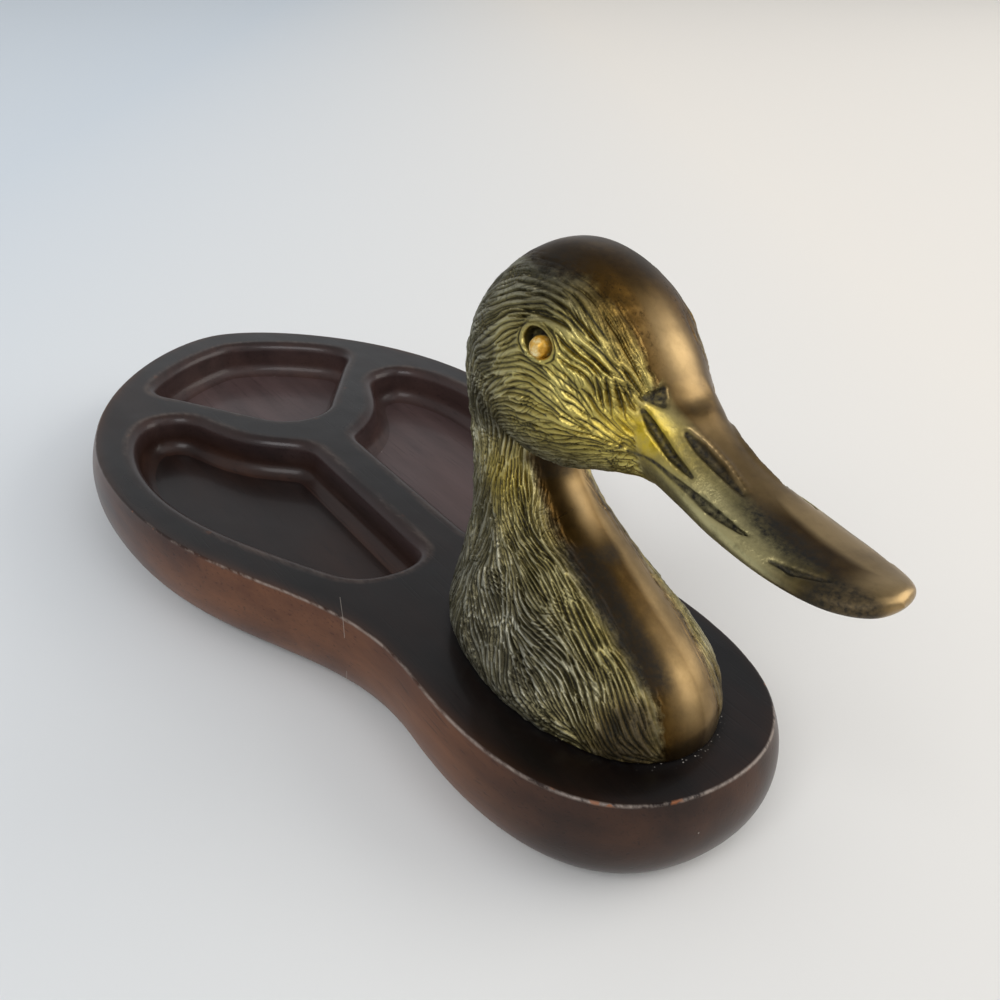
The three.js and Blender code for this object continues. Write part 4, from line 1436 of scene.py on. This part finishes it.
# Painted shade and painted dark reflections
DARK = {
    "socket": (1, ("off_skin", -0.4, -1.4), "in_socket"),
    "bill_edge": (0.65, ("rise", 0.05, -0.2), "bill", "not tip"),
    "under_tip": (0.95, ("x", 52, 57), ("y", -1.5, -4.5)),
    "crown_side": (0.95, "crown"),
    "jaw": (0.65, ("z", 63, 54), ("z", 46, 49), ("x", 14, 6), "feathers"),
    "under_jaw": (0.65, ("z", 36, 43), ("z", 51, 48), ("x", -18, -9), "feathers"),
    "head_back": (0.5, ("x", -8, -20), ("z", 60, 68), "feathers"),
    "nape": (0.6, ("x", -9, -21), ("z", 44, 34), "feathers"),
    "body": (0.48, ("z", 42, 36), "feathers"),
    "shaded_back": (0.7, ("x", 20, 2), ("z", 22, 9), "feathers"),
    "sole_front": (0.85, ("z", 17, 9), ("x", 17, 24), "feathers"),
    "far_side": (0.6, ("y", 6, 9), ("z", 44, 34), "ahead", "feathers"),
    "stripe_edge": (0.7, "chest_border"),
    "flanks": (0.95, ("y", 2, -3.2), ("beside_stripe", 5, 2), ("z", 10, 15), ("z", 33, 29), "ahead"),
    "throat_top": (0.75, ("z", 38.5, 41.5), ("y", 5, 1), "chest"),
    "band": (0.8, ("z", "about", 29, 1.6), ("y", 6, 2), "chest"),
    "dim_chest": (0.25, ("z", "about", 22, 5), ("y", -1, 2), ("y", 9, 5), "chest"),
    "chest_foot": (0.5, ("z", 8, 3), ("y", 3, -1), "chest"),
}
# How much of each mark shows bare yellow, olive in place of grey, and brown
BARE = {"lores": 1.05, "bill_root": 0.5, "cheek": 0.3, "neck_top": 0.5, "gold_border": 0.3}
WARMTH = {"face": 0.9, "breast": 0.3, "beside_chest": 0.5, "neck_top": 0.5, "bill": -0.65, "crown": -0.6,
          "shaded_back": -0.8}
LEAST_WARMTH = 0.1
BROWN = {"scuffed": 0.85, "chest_border": 0.7, "border": 0.4, "sole_front": 0.8}


def spread(rows, known):
    """Works out rows of marks at the points from what is known there, and adds them to it."""
    for name, (share, *steps) in rows.items():
        for step in steps:
            if isinstance(step, str):
                part = 1 - known[step[4:]] if step.startswith("not ") else known[step]
            elif step[1] == "about":
                part = np.exp(-((known[step[0]] - step[2]) / step[3]) ** 2)
            elif step[1] == "over":
                part = known[step[0]] > step[2]
            else:
                part = smooth(*step[1:], known[step[0]])
            share = share * part
        known[name] = share
    return [known[name] for name in rows]


def colour_casting(mesh):
    """Where the casting is buffed or bare, where highlights and shade are painted, and where its cuts are
    dark, as numbers on its points.
    """
    feathers, groove = [read_mark(mesh, name) for name in ("feathers", "groove")]
    x, y, z = read_floats(mesh, mesh.vertices, "co", 3).T
    side = np.abs(y)
    bill = smooth(-1, 1, x - bill_start(z)) * (z > HEAD_FROM)
    middle, tall, _ = head_section(x)
    ahead = x > neck_middle(z)
    eye, _ = eye_frame(1)
    from_eye = np.sqrt((x - eye.x) ** 2 + (side - eye.y) ** 2 + (z - eye.z) ** 2)
    across, off_skin = eye_reach(x, side, z)
    known = {
        "x": x, "y": y, "z": z, "side": side, "feathers": feathers, "bill": bill, "ahead": ahead,
        "height": z - middle - tall, "rise": (z - middle) / np.maximum(tall, 0.5),
        "chest": ahead * (z < HEAD_FROM) * (1 - feathers), "beyond": side - buffed_half(x, y, z),
        "beside_stripe": side - chest_half(z, y), "from_rim": run_distance([x, -y, z], *NOSTRIL_RIM),
        "in_socket": (across < SOCKET_RADIUS + 0.3) * (from_eye < 2 * SOCKET_RADIUS * SOCKET_STRETCH),
        "off_skin": off_skin,
    }
    spread(PLACES, known)
    rubbed = np.max(spread(RUBBED_AND_HIGHLIGHTS, known), axis=0)

    polish = (1 - smooth(0.1, 0.75, feathers)) * smooth(SOCKET_RADIUS + 1.4, SOCKET_RADIUS + 2.4, across)
    on_bill = np.maximum(known["culmen"], 0.75 * known["tip"])
    polish = np.clip(polish * np.where(bill > 0.5, on_bill, 1.0), 0, 1)
    known["border"] = np.maximum(4 * polish * (1 - polish) * (1 - bill), 0.75 * known["scuffed"])

    # The cuts are dark, with a painted shadow below the nostril, and a patch on the bill's right side is a
    # painted dark reflection
    slots = np.zeros(len(x))
    for cuts, own in ((BILL_CUTS, y <= 0), (far_cuts(), y > 0)):
        for cut in cuts:
            slots = np.maximum(slots, own * smooth(0.25, -0.1, run_distance([x, side, z], *cut)))
        below = smooth(2.2, 0.1, run_distance([x, side - 1.2, z + 0.8], *cuts[1]))
        slots = np.maximum(slots, 0.5 * own * below)
    patch = np.clip(known["patch"], 0, 1) * smooth(1.5, -0.5, y)
    shade = np.max([slots, patch, *spread(DARK, known)], axis=0)

    bare = sum(share * known[name] for name, share in BARE.items())
    warmth = LEAST_WARMTH + sum(share * known[name] for name, share in WARMTH.items())
    brown = np.max([share * known[name] for name, share in BROWN.items()], axis=0)
    groove = (1 - 0.3 * known["lores"]) * groove ** (1.25 + 0.4 * smooth(44, 54, z))
    for name, values in (
            ("groove", groove), ("brown", brown), ("polish", polish), ("border", known["border"]),
            ("rubbed", rubbed), ("bare", np.clip(bare, 0, 1)), ("warmth", np.clip(warmth, 0, 1)),
            ("shade", shade), ("pale", known["pale"])):
        write_float(mesh, name, values)


# Where the casting is split: the neck's height, and places along it
NECK_CUT = 44
NAPE_CUT = -11
BILL_CUT = 18
BREAST_CUT = -8
# Up to this height the casting's sole lies on the tray, where one flat face closes each piece
SOLE = 0.06


def open_loops(faces):
    """The closed loops of edges that have a face on one side only, run against their faces."""
    edges = np.vstack([faces[:, [k, (k + 1) % 4]] for k in range(4)])
    key = np.sort(edges, axis=1).astype(np.int64)
    key = key[:, 0] * (faces.max() + 1) + key[:, 1]
    _, first, count = np.unique(key, return_index=True, return_counts=True)
    following = {int(b): int(a) for a, b in edges[first[count == 1]]}
    loops = []
    while following:
        start, here = following.popitem()
        loop = [start]
        while here != start:
            loop.append(here)
            here = following.pop(here)
        loops.append(loop)
    return loops


def split_casting(mesh):
    """The casting in five closed pieces, each small enough to keep whole, that share their normals."""
    points = read_floats(mesh, mesh.vertices, "co", 3)
    normals = read_floats(mesh, mesh.vertices, "normal", 3)
    marks = {name: read_mark(mesh, name) for name in BRASS_MARKS}
    faces = np.empty(len(mesh.loops), np.int32)
    mesh.loops.foreach_get("vertex_index", faces)
    faces = faces.reshape(-1, 4)
    centre = points[faces].mean(axis=1)
    hidden = points[faces][:, :, 2].max(axis=1) < SOLE
    above = centre[:, 2] > NECK_CUT
    parts = {
        "carved_bill": above & (centre[:, 0] > BILL_CUT),
        "carved_face": above & (centre[:, 0] <= BILL_CUT) & (centre[:, 0] > NAPE_CUT),
        "carved_nape": above & (centre[:, 0] <= NAPE_CUT),
        "carved_breast": ~above & ~hidden & (centre[:, 0] > BREAST_CUT),
        "carved_neck": ~above & ~hidden & (centre[:, 0] <= BREAST_CUT),
    }
    pieces = []
    for name, wanted in parts.items():
        used, corner = np.unique(faces[wanted], return_inverse=True)
        own = corner.reshape(-1, 4)
        piece = bpy.data.meshes.new(name)
        place = (points[used] + np.array([CASTING_X, 0, TRAY_TOP])) * MM
        piece.from_pydata(place.tolist(), [], own.tolist() + open_loops(own))
        for mark, values in marks.items():
            write_float(piece, mark, values[used])
        piece.shade_smooth()
        piece.normals_split_custom_set_from_vertices(normals[used].tolist())
        pieces.append(piece)
    return pieces


def make_eye(side, name, node, material):
    """A bead low in its socket, turned about the socket's axis."""
    place, outwards = eye_frame(side)
    turn = Vector((0, 0, 1)).rotation_difference(outwards).to_matrix()
    down = Vector((0, 0, -1)) - outwards * Vector((0, 0, -1)).dot(outwards)
    middle = place + outwards * (-SOCKET_DEPTH + BEAD_SEAT * BEAD_RADIUS) + down.normalized() * BEAD_DROP
    middle.x += BEAD_AHEAD
    bead = bmesh.new()
    bmesh.ops.create_uvsphere(bead, u_segments=48, v_segments=32, radius=BEAD_RADIUS)
    for v in bead.verts:
        v.co.z = max(v.co.z, -BEAD_FLAT * BEAD_RADIUS)
        ripple = BEAD_RIPPLE * noise.noise(v.co * 0.9)
        v.co = (middle + turn @ (v.co * (1 + ripple)) + Vector((CASTING_X, 0, TRAY_TOP))) * MM
    mesh = bpy.data.meshes.new(name)
    bead.to_mesh(mesh)
    bead.free()
    mesh.shade_smooth()
    return finish_mesh(name, mesh, material, "polished_brass", node)


def make_stage():
    mesh = bpy.data.meshes.new("floor")
    corners = [(FLOOR_REACH * x, FLOOR_REACH * y, 0) for x, y in ((-1, -1), (1, -1), (1, 1), (-1, 1))]
    mesh.from_pydata(corners, [], [(0, 1, 2, 3)])
    mesh.materials.append(matt_paper())
    floor = new_object("floor", mesh)


def add_lamp(name, place, aim, size, power, code):
    data = bpy.data.lights.new(name, "AREA")
    data.shape = "RECTANGLE"
    data.size, data.size_y = size
    data.energy = power
    data.color = linear(code)[:3]
    lamp = new_object(name, data)
    lamp.location = place
    lamp.rotation_euler = (Vector(aim) - Vector(place)).to_track_quat("-Z", "Y").to_euler()


def make_light():
    for lamp in LAMPS:
        add_lamp(*lamp)
    world = bpy.data.worlds.new("studio")
    world.use_nodes = True
    tree = world.node_tree
    tree.nodes.clear()
    way = add(tree, "TexCoord", output="Generated")
    height = add(tree, "SeparateXYZ", {0: way}, "Z")
    strength = add(tree, "MapRange", {
        "Value": height, "From Min": SKY_FROM, "From Max": SKY_TO, "To Min": SKY_LOW, "To Max": SKY_HIGH})
    ground = add(tree, "Background", {"Color": linear("#f2f4f7"), "Strength": strength})
    add(tree, "OutputWorld", {"Surface": ground})
    bpy.context.scene.world = world


def make_camera():
    data = bpy.data.cameras.new("camera")
    data.sensor_fit = "HORIZONTAL"
    data.sensor_width = CAMERA_SENSOR
    data.lens = CAMERA_LENS
    data.clip_start = 0.01
    camera = new_object("camera", data)
    place, aim = Vector(CAMERA_PLACE) * MM, Vector(CAMERA_AIM) * MM
    turn = (aim - place).to_track_quat("-Z", "Y").to_matrix()
    turn = turn @ Matrix.Rotation(math.radians(CAMERA_ROLL), 3, "Z")
    camera.matrix_world = Matrix.Translation(place) @ turn.to_4x4()
    bpy.context.scene.camera = camera


make_camera()
make_stage()
make_light()
make_tray(lacquered_mahogany())
make_felt(baize_felt())
make_casting(patinated_brass())
bead_metal = amber_bead()
make_eye(1, "bead_eye_left", "eye_left", bead_metal)
make_eye(-1, "bead_eye_right", "eye_right", bead_metal)
screw_skin = plated_steel("bright_steel_screw", "#b8b8b4", 0.8)
zinc_skin = plated_steel("zinc_plated_washer", "#c3c6c8", 1.4)
for end in ("front", "rear"):
    for node, skin in ((f"mounting_screw_{end}", screw_skin), (f"washer_{end}", zinc_skin)):
        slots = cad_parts[node].material_slots
        if slots:
            slots[0].material = skin
        else:
            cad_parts[node].data.materials.append(skin)

bpy.context.scene.view_settings.view_transform = "Standard"
